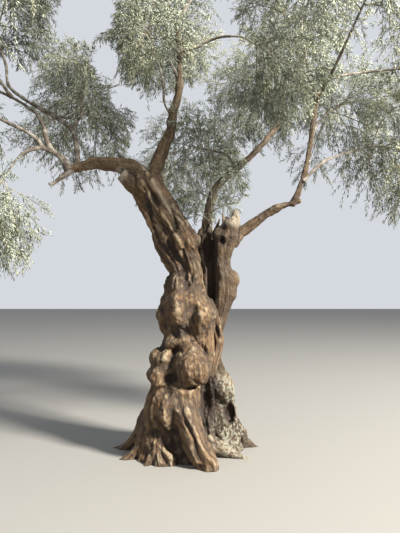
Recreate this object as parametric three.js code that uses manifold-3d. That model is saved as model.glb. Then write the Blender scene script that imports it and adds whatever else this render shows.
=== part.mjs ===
// An old olive tree: a hollow, twisted trunk of two stems on a wide root flare, with boughs and foliage.
// Millimetres, +Z up. The origin lies in the flat cut under the trunk, at ground level, and +Y is the back.
import * as THREE from "three";
import { mergeVertices } from "three/addons/utils/BufferGeometryUtils.js";
import Module from "manifold-3d";

const wasm = await Module();
wasm.setup();

// Clearances
const GAP = 0.3; // between solids that meet
const BURL_EASE = 40; // over which a burl blends into its stem
const LIMB_MARGIN = 12; // least room between a spray or twig and a limb
const LIMB_TIP_ROOM = 60; // around the tip that a mass grows from, where its own limb is no obstacle
const SPACE_MARGIN = 8; // least room between the spaces of two masses
const SHORTEST_EDGE = 0.02; // that a joined solid keeps

// The leaning front stem, from the ground to its fork: each row is [x, y, z, radius]
const FRONT_STEM = [
  [-170, 70, -60, 455],
  [-165, 70, 130, 385],
  [-150, 60, 330, 322],
  [-140, 50, 520, 292],
  [-125, 40, 680, 272],
  [-100, 30, 860, 232],
  [-60, 20, 1060, 208],
  [-38, 10, 1200, 206],
  [-55, 0, 1330, 262],
  [-55, 0, 1500, 258],
  [-62, 0, 1680, 196],
  [-42, 0, 1830, 145],
  [-85, 0, 1960, 176],
  [-160, 0, 2150, 198],
  [-245, 0, 2340, 174],
  [-370, 0, 2545, 156],
  [-440, 0, 2690, 156],
  [-468, 0, 2800, 118],
];

// The shorter rear stem on the right, from the foot of its stump to its broken head
const REAR_STEM = [
  [330, 350, -60, 250],
  [330, 350, 250, 195],
  [325, 340, 560, 162],
  [300, 300, 760, 138],
  [255, 220, 930, 108],
  [240, 150, 1120, 94],
  [285, 110, 1350, 96],
  [338, 100, 1560, 98],
  [345, 95, 1760, 96],
  [325, 90, 1950, 84],
  [345, 90, 2130, 112],
  [390, 95, 2230, 120],
  [425, 100, 2330, 94],
  [432, 105, 2450, 72],
];

// The dead wood that closes the cleft between the two stems at the back
const BACK_WALL = [
  [130, 360, -60, 190],
  [130, 320, 500, 150],
  [150, 230, 1000, 110],
  [170, 215, 1350, 96],
  [180, 225, 1700, 96],
  [160, 230, 2000, 104],
  [110, 215, 2240, 96],
];

// The tongue of pale wood that stands in the cleft
const CLEFT_TONGUE = [
  [130, 60, 1560, 46],
  [150, 50, 1750, 34],
  [165, 60, 1930, 18],
];

// The dry strip that stands off the leaning stem's upper edge
const LOOSE_STRIP = [
  [-315, 30, 2740, 20],
  [-205, 40, 2560, 18],
  [-105, 60, 2430, 24],
  [-20, 100, 2280, 40],
];

// Splinters of broken wood along the top of the cleft: foot, lean and height
const SPLINTERS = [
  { foot: [20, 190, 2180], lean: [-40, 0], height: 150, thick: 42 },
  { foot: [90, 170, 2190], lean: [30, 20], height: 120, thick: 38 },
  { foot: [160, 150, 2170], lean: [50, 0], height: 150, thick: 40 },
  { foot: [235, 130, 2150], lean: [70, 10], height: 240, thick: 36 },
];

// The stump of a lost bough under the left bough
const LOST_BOUGH = [
  [-420, 0, 2600, 96],
  [-560, -50, 2690, 84],
  [-690, -80, 2800, 64],
];

// The ropes of wood that run down past the belly to the burls
const ROPES = [
  [
    [110, -70, 1620, 50],
    [200, -60, 1420, 54],
    [196, -70, 1180, 54],
    [180, -70, 960, 54],
    [130, -60, 760, 52],
  ],
  [
    [190, 20, 1560, 46],
    [255, 30, 1350, 50],
    [290, 30, 1110, 52],
    [235, 20, 930, 52],
    [190, 20, 780, 46],
  ],
];

// The ledge that curls round the foot below the burls
const BURL_LEDGE = [
  [-380, 60, 700, 44],
  [-315, -100, 690, 50],
  [-200, -185, 645, 54],
  [-40, -215, 612, 56],
  [70, -185, 645, 52],
  [130, -80, 715, 44],
];

// Flutes of a stem: how many run round it, their depth as a share of its radius, and their turn in a metre
const FRONT_FLUTES = { count: 7, depth: 0.075, turn: -0.75, start: 0.4 };
const REAR_FLUTES = { count: 5, depth: 0.085, turn: 0.9, start: 1.1 };

// Burls and swellings of the front stem and of the rear stem: centre and half sizes
const FRONT_BURLS = [
  { at: [0, -120, 905], half: [172, 165, 200] },
  { at: [-318, -40, 985], half: [92, 120, 92] },
  { at: [-300, -70, 810], half: [112, 140, 112] },
  { at: [108, -85, 1345], half: [112, 140, 110] },
  { at: [-60, -105, 1490], half: [215, 150, 170] },
  { at: [-20, -40, 2130], half: [130, 150, 120] },
  { at: [-390, 20, 2775], half: [120, 100, 90] },
];
const REAR_BURLS = [
  { at: [425, 70, 1745], half: [88, 90, 100] },
  { at: [405, 60, 1620], half: [76, 80, 80] },
  { at: [345, 80, 2190], half: [118, 110, 90] },
  { at: [340, 280, 640], half: [150, 130, 150] },
];

// Hollows: the dark openings at the foot, under the belly, beside the burls and in the cleft
const HOLLOWS = [
  { at: [175, 30, 440], half: [84, 190, 250] },
  { at: [470, 150, 290], half: [60, 130, 150] },
  { at: [-55, -262, 1262], half: [72, 88, 62] },
  { at: [-205, -225, 845], half: [34, 80, 110] },
  { at: [-150, -262, 690], half: [120, 60, 34] },
  { at: [182, 50, 2080], half: [62, 120, 200] },
  { at: [322, -20, 2150], half: [26, 40, 30] },
];

// Root flares: the angle they leave at, their centre, how far and high they reach, and their thickness
const ROOT_FLARES = [
  { angle: 158, centre: [-120, 120], reach: 800, height: 780, thick: 150 },
  { angle: 192, centre: [-150, 60], reach: 600, height: 640, thick: 135 },
  { angle: 228, centre: [-130, 60], reach: 520, height: 640, thick: 120 },
  { angle: 262, centre: [-130, 40], reach: 450, height: 520, thick: 110 },
  { angle: 310, centre: [-70, 70], reach: 490, height: 860, thick: 150 },
  { angle: 286, centre: [-100, 40], reach: 450, height: 600, thick: 112 },
  { angle: 350, centre: [60, 60], reach: 690, height: 200, thick: 92 },
  { angle: 12, centre: [310, 330], reach: 480, height: 680, thick: 125 },
  { angle: 66, centre: [300, 320], reach: 420, height: 620, thick: 125 },
  { angle: 108, centre: [80, 300], reach: 480, height: 560, thick: 130 },
  { angle: 136, centre: [-150, 220], reach: 520, height: 680, thick: 125 },
];

// Every root flare starts this share of its reach out, and its foot sinks by this share of its thickness
const FLARE_START = 0.24;
const FLARE_SINK = 0.45;
const FLARE_BEND = { out: 1.35, down: 1.7 }; // how sharply it turns from the trunk to the ground
const FLARE_ROWS = 5;

// Limbs: where they start, the points they pass, their tip, and the radii at both ends.
// One with a parent starts on it, at that share of its length, and 1 is its tip.
const LIMBS = [
  {
    name: "left_bough",
    from: [-435, 0, 2735],
    via: [[-605, -20, 2880], [-781, -50, 2903], [-930, -70, 2913], [-1055, -100, 2874]],
    to: [-1195, -120, 2838],
    radii: [94, 40],
  },
  {
    name: "left_snag",
    parent: "left_bough",
    at: 0.96,
    via: [[-1310, -190, 2700]],
    to: [-1364, -220, 2672],
    radii: [27, 14],
  },
  {
    name: "left_lower_limb",
    parent: "left_bough",
    at: 1,
    via: [[-1271, -140, 2950], [-1348, -150, 3012], [-1441, -170, 3049], [-1560, -210, 3170]],
    to: [-1960, -290, 3360],
    radii: [38, 14],
  },
  {
    name: "left_arching_limb",
    parent: "left_lower_limb",
    at: 0.58,
    via: [[-1472, -200, 3033], [-1559, -280, 2983], [-1625, -340, 2910]],
    to: [-1705, -450, 2720],
    radii: [18, 9],
  },
  {
    name: "left_upper_limb",
    parent: "left_lower_limb",
    at: 0.46,
    via: [
      [-1424, -130, 3161],
      [-1453, -100, 3251],
      [-1516, -60, 3379],
      [-1600, -20, 3470],
      [-1870, 80, 3650],
    ],
    to: [-2300, 160, 3850],
    radii: [26, 13],
  },
  {
    name: "left_inner_limb",
    parent: "left_bough",
    at: 0.9,
    via: [
      [-1144, 0, 3065],
      [-1221, 60, 3298],
      [-1426, 130, 3460],
      [-1720, 220, 3644],
      [-1945, 300, 3835],
      [-2009, 380, 4092],
    ],
    to: [-2100, 440, 4330],
    radii: [28, 12],
  },
  {
    name: "left_middle_limb",
    parent: "left_inner_limb",
    at: 0.27,
    via: [[-1130, 90, 3440]],
    to: [-1120, 120, 3540],
    radii: [15, 9],
  },
  {
    name: "left_front_limb",
    parent: "left_upper_limb",
    at: 0.82,
    via: [[-1960, -420, 3880]],
    to: [-1900, -1050, 4050],
    radii: [18, 11],
  },
  {
    name: "left_back_limb",
    parent: "left_inner_limb",
    at: 0.42,
    via: [[-1380, 640, 3600]],
    to: [-1420, 1200, 3850],
    radii: [21, 12],
  },
  {
    name: "centre_bough",
    from: [-425, 0, 2690],
    via: [
      [-340, 0, 2896],
      [-272, 10, 3078],
      [-205, 20, 3255],
      [-181, 30, 3434],
      [-135, 40, 3617],
      [-105, 50, 3805],
      [-106, 50, 3983],
      [-112, 60, 4134],
    ],
    to: [-146, 60, 4380],
    radii: [80, 26],
  },
  {
    name: "centre_right_limb",
    parent: "centre_bough",
    at: 1,
    via: [[-46, 90, 4593], [40, 110, 4740]],
    to: [230, 150, 5100],
    radii: [25, 13],
  },
  {
    name: "centre_left_limb",
    parent: "centre_bough",
    at: 0.975,
    via: [[-208, 30, 4536], [-270, 20, 4720]],
    to: [-400, 0, 5080],
    radii: [19, 11],
  },
  {
    name: "centre_front_limb",
    parent: "centre_bough",
    at: 0.86,
    via: [[-227, 0, 4191], [-318, -60, 4315], [-363, -160, 4474]],
    to: [-380, -850, 4850],
    radii: [17, 10],
  },
  {
    name: "centre_back_limb",
    parent: "centre_bough",
    at: 0.66,
    via: [[-200, 450, 4100]],
    to: [-330, 1050, 4600],
    radii: [24, 13],
  },
  {
    name: "centre_low_limb",
    parent: "centre_bough",
    at: 0.43,
    via: [[-259, -40, 3534], [-268, -80, 3700]],
    to: [-300, -110, 3850],
    radii: [13, 8],
  },
  {
    name: "centre_arching_limb",
    parent: "centre_bough",
    at: 0.87,
    via: [[90, 0, 4134], [136, -20, 4161], [312, -80, 4196], [499, -140, 4170]],
    to: [640, -170, 4090],
    radii: [17, 10],
  },
  {
    name: "right_bough",
    from: [430, 95, 2150],
    via: [[529, 100, 2243], [651, 90, 2334], [777, 80, 2429], [924, 60, 2500], [1020, 50, 2525]],
    to: [1125, 30, 2547],
    radii: [70, 27],
  },
  {
    name: "right_riser",
    parent: "right_bough",
    at: 0.87,
    via: [[1105, 40, 2658], [1155, 30, 2795], [1191, 20, 2940], [1239, 0, 3245], [1278, 0, 3532]],
    to: [1288, 0, 3640],
    radii: [34, 20],
  },
  {
    name: "right_outer_limb",
    parent: "right_riser",
    at: 1,
    via: [[1366, 0, 3700], [1400, 0, 3765], [1470, 10, 3815], [1700, 40, 3870]],
    to: [2080, 90, 3930],
    radii: [18, 11],
  },
  {
    name: "right_top_limb",
    parent: "right_riser",
    at: 0.93,
    via: [[1230, 80, 3850]],
    to: [1180, 180, 4350],
    radii: [17, 10],
  },
  {
    name: "right_side_limb",
    parent: "right_riser",
    at: 0.28,
    via: [[1274, 60, 2884], [1354, 100, 2955], [1436, 140, 3006], [1640, 230, 3090]],
    to: [1880, 330, 3180],
    radii: [18, 10],
  },
  {
    name: "right_front_limb",
    parent: "right_riser",
    at: 0.85,
    via: [[1380, -350, 3760]],
    to: [1500, -880, 4080],
    radii: [18, 11],
  },
  {
    name: "right_back_limb",
    parent: "right_riser",
    at: 0.5,
    via: [[1360, 480, 3420]],
    to: [1650, 1130, 3800],
    radii: [20, 12],
  },
  {
    name: "back_bough",
    from: [130, 240, 2120],
    via: [[232, 420, 2660], [345, 480, 2845], [492, 560, 2985], [690, 660, 3180], [895, 760, 3425]],
    to: [1085, 860, 3690],
    radii: [54, 33],
  },
  {
    name: "back_right_limb",
    parent: "back_bough",
    at: 1,
    via: [[1100, 1080, 3960]],
    to: [1000, 1430, 4200],
    radii: [31, 14],
  },
  {
    name: "back_left_limb",
    parent: "back_bough",
    at: 0.5,
    via: [[420, 950, 3250]],
    to: [150, 1450, 3450],
    radii: [28, 13],
  },
];

// Masses of foliage: the limb they grow from, the middle of their space and its half sizes
const MASSES = [
  {
    name: "foliage_left_low",
    limb: "left_lower_limb",
    middle: [-2500, -360, 3330],
    half: [840, 760, 720],
  },
  {
    name: "foliage_left_hanging",
    limb: "left_arching_limb",
    middle: [-1830, -620, 2420],
    half: [430, 430, 560],
  },
  {
    name: "foliage_left_outer",
    limb: "left_upper_limb",
    middle: [-2720, 420, 4080],
    half: [780, 820, 720],
  },
  {
    name: "foliage_left_crown",
    limb: "left_inner_limb",
    middle: [-1980, 480, 4980],
    half: [820, 820, 700],
  },
  {
    name: "foliage_left_middle",
    limb: "left_middle_limb",
    middle: [-1080, 160, 3930],
    half: [560, 600, 480],
  },
  {
    name: "foliage_left_front",
    limb: "left_front_limb",
    middle: [-1780, -1580, 4250],
    half: [860, 900, 780],
  },
  {
    name: "foliage_left_back",
    limb: "left_back_limb",
    middle: [-1560, 1850, 4050],
    half: [880, 880, 800],
  },
  {
    name: "foliage_centre_left",
    limb: "centre_left_limb",
    middle: [-720, -60, 5560],
    half: [800, 800, 720],
  },
  {
    name: "foliage_centre_right",
    limb: "centre_right_limb",
    middle: [440, 220, 5700],
    half: [820, 820, 740],
  },
  {
    name: "foliage_centre_front",
    limb: "centre_front_limb",
    middle: [-330, -1620, 4980],
    half: [880, 920, 800],
  },
  {
    name: "foliage_centre_back",
    limb: "centre_back_limb",
    middle: [-440, 1560, 4980],
    half: [860, 860, 800],
  },
  {
    name: "foliage_centre_low",
    limb: "centre_low_limb",
    middle: [-430, -150, 4150],
    half: [420, 460, 560],
  },
  {
    name: "foliage_middle_right",
    limb: "centre_arching_limb",
    middle: [760, -220, 3950],
    half: [540, 580, 620],
  },
  {
    name: "foliage_right_top",
    limb: "right_top_limb",
    middle: [1280, 260, 4900],
    half: [780, 780, 760],
  },
  {
    name: "foliage_right_outer",
    limb: "right_outer_limb",
    middle: [2420, 100, 4080],
    half: [780, 760, 720],
  },
  {
    name: "foliage_right_low",
    limb: "right_side_limb",
    middle: [2260, 460, 3150],
    half: [740, 720, 640],
  },
  {
    name: "foliage_right_front",
    limb: "right_front_limb",
    middle: [1600, -1500, 4350],
    half: [860, 900, 800],
  },
  {
    name: "foliage_right_back",
    limb: "right_back_limb",
    middle: [1950, 1480, 4050],
    half: [840, 820, 800],
  },
  {
    name: "foliage_back_right",
    limb: "back_right_limb",
    middle: [900, 2050, 4480],
    half: [840, 860, 780],
  },
  {
    name: "foliage_back_left",
    limb: "back_left_limb",
    middle: [-20, 2080, 3650],
    half: [840, 820, 760],
  },
];

// The shoots that spring from the top of the cleft, the one mass that stands on the trunk
const SHOOTS = {
  name: "foliage_cleft_shoots",
  from: [225, 120, 2190],
  heading: [0, 0.2, 1],
  room: 100, // above their foot before they keep clear of the wood
  middle: [190, 130, 3080],
  half: [330, 300, 720],
};

// How a mass grows: its stem
const STEM_RADII = [11, 7];
const STEM_LEAD = 30; // straight on from its limb's tip
const STEM_BEND = 0.45; // of the way to the middle of its space, where it turns
const STEM_BEYOND = 0.3; // of the space's half height, past the middle

// its twigs
const TWIG_SPACING = 125; // of a space's mean half size to one twig
const FIRST_TWIG = 0.2; // as a share of the stem
const TWIG_RADII = [7, 4.5];
const TWIG_SLANT = 0.95; // radians off the stem
const TWIG_REACH = 0.95; // as a share of the space's mean half size
const TWIG_LENGTHS = [0.85, 1.15]; // shortest and longest, as shares of that
const LAST_TWIG = 0.72; // as a share of the first one's length
const TWIG_BEND = 0.55; // of the way along, where it starts to sink
const DROOP = 0.22; // how far a twig's end sinks, as a share of its length

// and its sprays
const SPRAYS_PER_TWIG = 2; // on the sides of a twig, besides the one at its tip
const SPRAY_PLACES = [0.36, 0.85]; // the first and last on the sides, as shares of the twig
const TIP_PLACE = 0.985;
const SPRAY_LENGTH = 470;
const SPRAY_LENGTHS = [0.8, 1.15]; // shortest and longest, as shares of that
const SPRAY_WIDTH = 0.26; // as shares of the length
const SPRAY_THICKNESS = 0.022;
const SPRAY_SLANT = 0.8; // radians off the twig
const TIP_SLANT = 0.12;
const SPRAY_ROOT = 0.8; // how deep it sinks in its twig, as a share of the twig's radius

// How much chance there is in it: the widest turns either way, in radians, and the seeds, one to a mass
const TWIG_SWAY = 0.25;
const SPRAY_SWAY = 0.2;
const TURN_SWAY = 0.45;
const GOLDEN_ANGLE = Math.PI * (3 - Math.sqrt(5));
const FIRST_SEED = 101;
const SEED_STEP = 7919;
const SHOOT_SEED = 4242;

// How a twig or spray is made to fit: each try is this share of the one before
const TRIES = 5;
const TRY_SHARE = 0.84;
const LIMB_SAMPLES = 60; // between the points at which a limb is measured from
const STEM_SAMPLES = 100;
const TWIG_SAMPLES = 40;

// Facets
const STEM_SIDES = 22;
const REAR_SIDES = 11;
const STEM_STEP = 102; // between the rings of a stem
const ROPE_SIDES = 5;
const ROOT_SIDES = 6;
const LIMB_SIDES = 6;
const LIMB_STEP = 250;
const TWIG_SIDES = 3;
const BACK_STEP = 240; // between the rings of the other pieces of the trunk
const THIN_STEP = 160;
const LEDGE_STEP = 120;

// Finishes
const BARK = new THREE.MeshStandardMaterial({ color: 0x8a7056, roughness: 0.95, metalness: 0 });
const LIMB_BARK = new THREE.MeshStandardMaterial({ color: 0x7b6650, roughness: 0.9, metalness: 0 });
const FOLIAGE = new THREE.MeshStandardMaterial({ color: 0x8c937a, roughness: 0.7, metalness: 0 });

// Basic helpers

const vector = (row) => new THREE.Vector3(row[0], row[1], row[2]);
const { lerp } = THREE.MathUtils;

/** A closed three.js geometry as a manifold-3d solid. */
function solidOf(geometry) {
  const bare = geometry.clone();
  bare.deleteAttribute("normal");
  bare.deleteAttribute("uv");
  const merged = mergeVertices(bare, 1e-3);
  return new wasm.Manifold(
    new wasm.Mesh({
      numProp: 3,
      vertProperties: new Float32Array(merged.attributes.position.array),
      triVerts: new Uint32Array(merged.index.array),
    }),
  );
}

/** A manifold-3d solid as a named mesh. */
function meshOf(solid, name, material) {
  const data = solid.getMesh();
  const geometry = new THREE.BufferGeometry();
  geometry.setAttribute("position", new THREE.BufferAttribute(data.vertProperties, 3));
  geometry.setIndex(new THREE.BufferAttribute(data.triVerts, 1));
  geometry.computeVertexNormals();
  const mesh = new THREE.Mesh(geometry, material);
  mesh.name = name;
  return mesh;
}

/** The largest of a solid's bodies, so that loose scraps are dropped, without its shortest edges. */
function largestBody(solid) {
  const bodies = solid.decompose();
  const largest = bodies.reduce((best, body) => (body.volume() > best.volume() ? body : best));
  return largest.simplify(SHORTEST_EDGE);
}

/** Repeatable random numbers from 0 to 1. */
function seededRandom(seed) {
  let state = seed >>> 0;
  return () => {
    state = (Math.imul(state, 1664525) + 1013904223) >>> 0;
    return state / 4294967296;
  };
}

// Paths and tubes

/** A smooth path through rows of [x, y, z, radius]. Its methods take a share t of the way along it. */
class Path {
  constructor(rows) {
    this.curve = new THREE.CatmullRomCurve3(rows.map(vector), false, "catmullrom", 0.5);
    this.radii = rows.map((row) => row[3]);
  }
  point(t) {
    return this.curve.getPoint(t);
  }
  direction(t) {
    return this.curve.getTangent(t);
  }
  radius(t) {
    const place = t * (this.radii.length - 1);
    const i = Math.min(Math.floor(place), this.radii.length - 2);
    const share = THREE.MathUtils.smoothstep(place - i, 0, 1);
    return lerp(this.radii[i], this.radii[i + 1], share);
  }
  length() {
    return this.curve.getLength();
  }
  /** Two directions across the path at each of a number of steps, carried along it without twisting. */
  frames(steps) {
    const first = this.direction(0);
    const aside = Math.abs(first.x) < 0.8 ? new THREE.Vector3(1, 0, 0) : new THREE.Vector3(0, 1, 0);
    let across = aside.clone().addScaledVector(first, -aside.dot(first)).normalize();
    const frames = [];
    for (let i = 0; i <= steps; i++) {
      const along = this.direction(i / steps);
      across = across.clone().addScaledVector(along, -across.dot(along)).normalize();
      frames.push({ along, across, over: across.clone().cross(along) });
    }
    return frames;
  }
}

/** A tube along a path, with flat ends: a cylinder whose rings are moved onto the path and relief. */
function tube(path, sides, rings, grow = 0, relief = null) {
  const geometry = new THREE.CylinderGeometry(1, 1, 1, sides, rings);
  const frames = path.frames(rings);
  const places = geometry.attributes.position;
  for (let i = 0; i < places.count; i++) {
    const ring = Math.round((places.getY(i) + 0.5) * rings);
    const t = ring / rings;
    const { along, across, over } = frames[ring];
    const end = ring === 0 ? -grow : ring === rings ? grow : 0;
    const point = path.point(t).addScaledVector(along, end);
    const outward = across.clone().multiplyScalar(places.getX(i)).addScaledVector(over, places.getZ(i));
    if (outward.lengthSq() > 0.5) {
      const radius = relief ? relief(point, outward, path.radius(t)) : path.radius(t);
      point.addScaledVector(outward, radius + grow);
    }
    places.setXYZ(i, point.x, point.y, point.z);
  }
  return solidOf(geometry);
}

/** A tube whose number of rings follows from its length. */
function tubeByStep(path, sides, step, grow = 0, relief = null) {
  return tube(path, sides, Math.max(2, Math.round(path.length() / step)), grow, relief);
}

/** A rounded lump, such as a burl. */
function lump({ at, half }, grow = 0) {
  const geometry = new THREE.IcosahedronGeometry(1, 1);
  geometry.scale(...half.map((size) => size + grow)).translate(...at);
  return solidOf(geometry);
}

// The trunk

/** The larger of two sizes, eased where they are nearly equal. */
function easedMax(a, b, ease) {
  const near = Math.max(ease - Math.abs(a - b), 0) / ease;
  return Math.max(a, b) + near * near * ease * 0.25;
}

/** How far along a ray from a stem's axis a burl reaches, or 0 where the ray misses it. */
function reachOfBurl({ at, half }, origin, outward) {
  const scale = (v) => new THREE.Vector3(v.x / half[0], v.y / half[1], v.z / half[2]);
  const from = scale(origin.clone().sub(vector(at)));
  const along = scale(outward);
  const a = along.lengthSq();
  const b = from.dot(along);
  const left = b * b - a * (from.lengthSq() - 1);
  return left > 0 ? Math.max(0, (-b + Math.sqrt(left)) / a) : 0;
}

/** A stem's surface: its radius with flutes that wind up it, and the burls that stand out further. */
function stemRelief({ count, depth, turn, start }, burls) {
  return (origin, outward, radius) => {
    const angle = Math.atan2(outward.y, outward.x) - (turn * origin.z) / 1000;
    const flutes = Math.sin(count * angle + start) + 0.6 * Math.sin((count - 2) * angle - 2 * start);
    const bare = radius * (1 + depth * flutes);
    const reaches = burls.map((burl) => reachOfBurl(burl, origin, outward));
    return reaches.reduce((size, reach) => easedMax(size, reach, BURL_EASE), bare);
  };
}

/** A root flare: it leaves the trunk steeply and runs out along the ground, thickest halfway. */
function rootFlare({ angle, centre, reach, height, thick }, grow) {
  const turn = THREE.MathUtils.degToRad(angle);
  const rows = [];
  for (let i = 0; i <= FLARE_ROWS; i++) {
    const share = i / FLARE_ROWS;
    const out = reach * lerp(FLARE_START, 1, share ** FLARE_BEND.out);
    const swell = Math.sin(Math.PI * Math.min(1, share * 1.4)) ** 2;
    rows.push([
      centre[0] + Math.cos(turn) * out,
      centre[1] + Math.sin(turn) * out,
      height * (1 - share) ** FLARE_BEND.down - thick * FLARE_SINK * share,
      thick * lerp(0.72, 1, swell) * lerp(1, 0.62, share),
    ]);
  }
  return tube(new Path(rows), ROOT_SIDES, FLARE_ROWS + 1, grow);
}

/** A splinter of broken wood: a spike that leans as it rises. */
function splinter({ foot, lean, height, thick }, grow) {
  const tip = [foot[0] + lean[0], foot[1] + lean[1], foot[2] + height];
  const half = foot.map((start, i) => lerp(start, tip[i], 0.5));
  return tube(new Path([[...foot, thick], [...half, thick * 0.7], [...tip, thick * 0.15]]), 5, 2, grow);
}

const frontStem = new Path(FRONT_STEM);
const rearStem = new Path(REAR_STEM);

/** The trunk, cut flat at the ground. It is grown a little where it cuts other solids clear of it. */
function makeTrunk(grow = 0) {
  const rope = (rows, step) => tubeByStep(new Path(rows), ROPE_SIDES, step, grow);
  const wood = [
    tubeByStep(frontStem, STEM_SIDES, STEM_STEP, grow, stemRelief(FRONT_FLUTES, FRONT_BURLS)),
    tubeByStep(rearStem, REAR_SIDES, STEM_STEP, grow, stemRelief(REAR_FLUTES, REAR_BURLS)),
    rope(BACK_WALL, BACK_STEP),
    rope(CLEFT_TONGUE, THIN_STEP),
    rope(LOOSE_STRIP, THIN_STEP),
    rope(LOST_BOUGH, THIN_STEP),
    ...ROPES.map((rows) => rope(rows, THIN_STEP)),
    ...SPLINTERS.map((splinterRow) => splinter(splinterRow, grow)),
    rope(BURL_LEDGE, LEDGE_STEP),
    ...ROOT_FLARES.map((flare) => rootFlare(flare, grow)),
  ];
  const below = solidOf(new THREE.BoxGeometry(4000, 4000, 1000).translate(0, 0, -500));
  const holes = [...HOLLOWS.map((hollow) => lump(hollow, -grow)), below];
  return largestBody(wasm.Manifold.union(wood).subtract(wasm.Manifold.union(holes)));
}

// The limbs

/** The rows of a limb's path, from its start on its parent or in the trunk to its tip. */
function limbRows(limb, made) {
  const [root, tip] = limb.radii;
  const points = [...limb.via, limb.to];
  const rows = [];
  if (limb.parent) {
    const parent = made.get(limb.parent).path;
    const start = parent.point(limb.at);
    if (limb.at === 1) start.addScaledVector(parent.direction(1), GAP);
    rows.push([...start, root]);
  } else {
    rows.push([...limb.from, root]);
  }
  points.forEach((point, i) => rows.push([...point, lerp(root, tip, (i + 1) / points.length)]));
  return rows;
}

/** Every limb's path and solid, each cut clear of the trunk and of the limbs made before it. */
function makeLimbs(grownTrunk) {
  const made = new Map();
  for (const limb of LIMBS) {
    const path = new Path(limbRows(limb, made));
    const rings = Math.max(3, Math.round(path.length() / LIMB_STEP));
    let solid = tube(path, LIMB_SIDES, rings);
    for (const other of made.values()) solid = solid.subtract(other.grown);
    if (!limb.parent) solid = solid.subtract(grownTrunk);
    made.set(limb.name, { path, solid: largestBody(solid), grown: tube(path, LIMB_SIDES, rings, GAP) });
  }
  return made;
}

// The masses of foliage

const spaces = [...MASSES, SHOOTS].map(({ middle, half }) => ({ middle: vector(middle), half }));

/** Whether a point lies in a mass's own space: in its egg, and nearer to its middle than to any other's. */
function inSpace(point, space) {
  const d = point.clone().sub(space.middle);
  const egg = (d.x / space.half[0]) ** 2 + (d.y / space.half[1]) ** 2 + (d.z / space.half[2]) ** 2;
  if (egg > 1) return false;
  return spaces.every((other) => {
    if (other === space) return true;
    const between = other.middle.clone().sub(space.middle);
    const half = between.length() / 2;
    return d.dot(between.normalize()) < half - SPACE_MARGIN;
  });
}

/** Whether a point stays clear of every limb and of the trunk's stems. */
function clearOf(limbSamples, point, room) {
  return limbSamples.every(({ at, radius }) => at.distanceTo(point) > radius + room);
}

/** Points along a path with the path's radius there, a step apart. */
function samplesOf(path, step) {
  const count = Math.ceil(path.length() / step);
  return Array.from({ length: count + 1 }, (_, i) => ({
    at: path.point(i / count),
    radius: path.radius(i / count),
  }));
}

/** The longest of a few shorter and shorter lengths that fits, or 0. */
function fittingLength(fullLength, fits) {
  for (let tries = 0; tries < TRIES; tries++) {
    const length = fullLength * TRY_SHARE ** tries;
    if (fits(length)) return length;
  }
  return 0;
}

/** A random turn either way. */
function sway(random, widest) {
  return (2 * random() - 1) * widest;
}

/** The direction at a slant off a path's own, turned about it. */
function branchDirection(along, across, over, turn, slant) {
  const side = across.clone().multiplyScalar(Math.cos(turn)).addScaledVector(over, Math.sin(turn));
  return along.clone().multiplyScalar(Math.cos(slant)).addScaledVector(side, Math.sin(slant)).normalize();
}

/** One spray of leaves: a flat eight-sided blade, its root sunk in its twig. */
function spray(root, along, across, length) {
  const out = along.clone().cross(across);
  const geometry = new THREE.OctahedronGeometry(1, 0);
  geometry.scale(length / 2, (length * SPRAY_WIDTH) / 2, (length * SPRAY_THICKNESS) / 2);
  const middle = root.clone().addScaledVector(along, length / 2);
  geometry.applyMatrix4(new THREE.Matrix4().makeBasis(along, across, out).setPosition(middle));
  return solidOf(geometry);
}

/** The length at which a spray fits its space and clears every limb, or 0. */
function sprayLength(root, heading, broad, space, limbSamples, fullLength) {
  return fittingLength(fullLength, (length) => {
    const tip = root.clone().addScaledVector(heading, length);
    const belly = root.clone().addScaledVector(heading, length / 2);
    const halfWidth = (length * SPRAY_WIDTH) / 2;
    const edges = [-halfWidth, halfWidth].map((out) => belly.clone().addScaledVector(broad, out));
    const corners = [tip, belly, ...edges];
    return corners.every((p) => inSpace(p, space) && clearOf(limbSamples, p, LIMB_MARGIN * 2));
  });
}

/** Sprays on both sides of a twig by turns, and one at its tip. */
function spraysOn(path, space, limbSamples, random) {
  const made = [];
  const { across, over } = path.frames(1)[0];
  for (let j = 0; j <= SPRAYS_PER_TWIG; j++) {
    const atTip = j === SPRAYS_PER_TWIG;
    const place = atTip ? TIP_PLACE : lerp(...SPRAY_PLACES, (j + random() / 2) / SPRAYS_PER_TWIG);
    const turn = j * Math.PI + sway(random, TURN_SWAY);
    const slant = atTip ? TIP_SLANT : SPRAY_SLANT + sway(random, SPRAY_SWAY);
    const heading = branchDirection(path.direction(place), across, over, turn, slant);
    const broad = new THREE.Vector3(0, 0, 1).cross(heading).normalize();
    broad.applyAxisAngle(heading, sway(random, Math.PI / 2));
    const root = path.point(place).addScaledVector(heading, -TWIG_RADII[1] * SPRAY_ROOT);
    const wanted = SPRAY_LENGTH * lerp(...SPRAY_LENGTHS, random());
    const length = sprayLength(root, heading, broad, space, limbSamples, wanted);
    if (length) made.push(spray(root, heading, broad, length));
  }
  return made;
}

/** A twig's path at a length: it runs straight, then sinks. */
function twigPath(root, heading, length) {
  const bend = root.clone().addScaledVector(heading, length * TWIG_BEND);
  const end = root.clone().addScaledVector(heading, length);
  end.z -= DROOP * length;
  return new Path([[...root, TWIG_RADII[0]], [...bend, lerp(...TWIG_RADII, 0.5)], [...end, TWIG_RADII[1]]]);
}

/** Whether a twig ends in its space and clears every limb. */
function twigFits(path, space, limbSamples) {
  const points = samplesOf(path, TWIG_SAMPLES).slice(1);
  return inSpace(path.point(1), space) && points.every(({ at }) => clearOf(limbSamples, at, LIMB_MARGIN));
}

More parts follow.
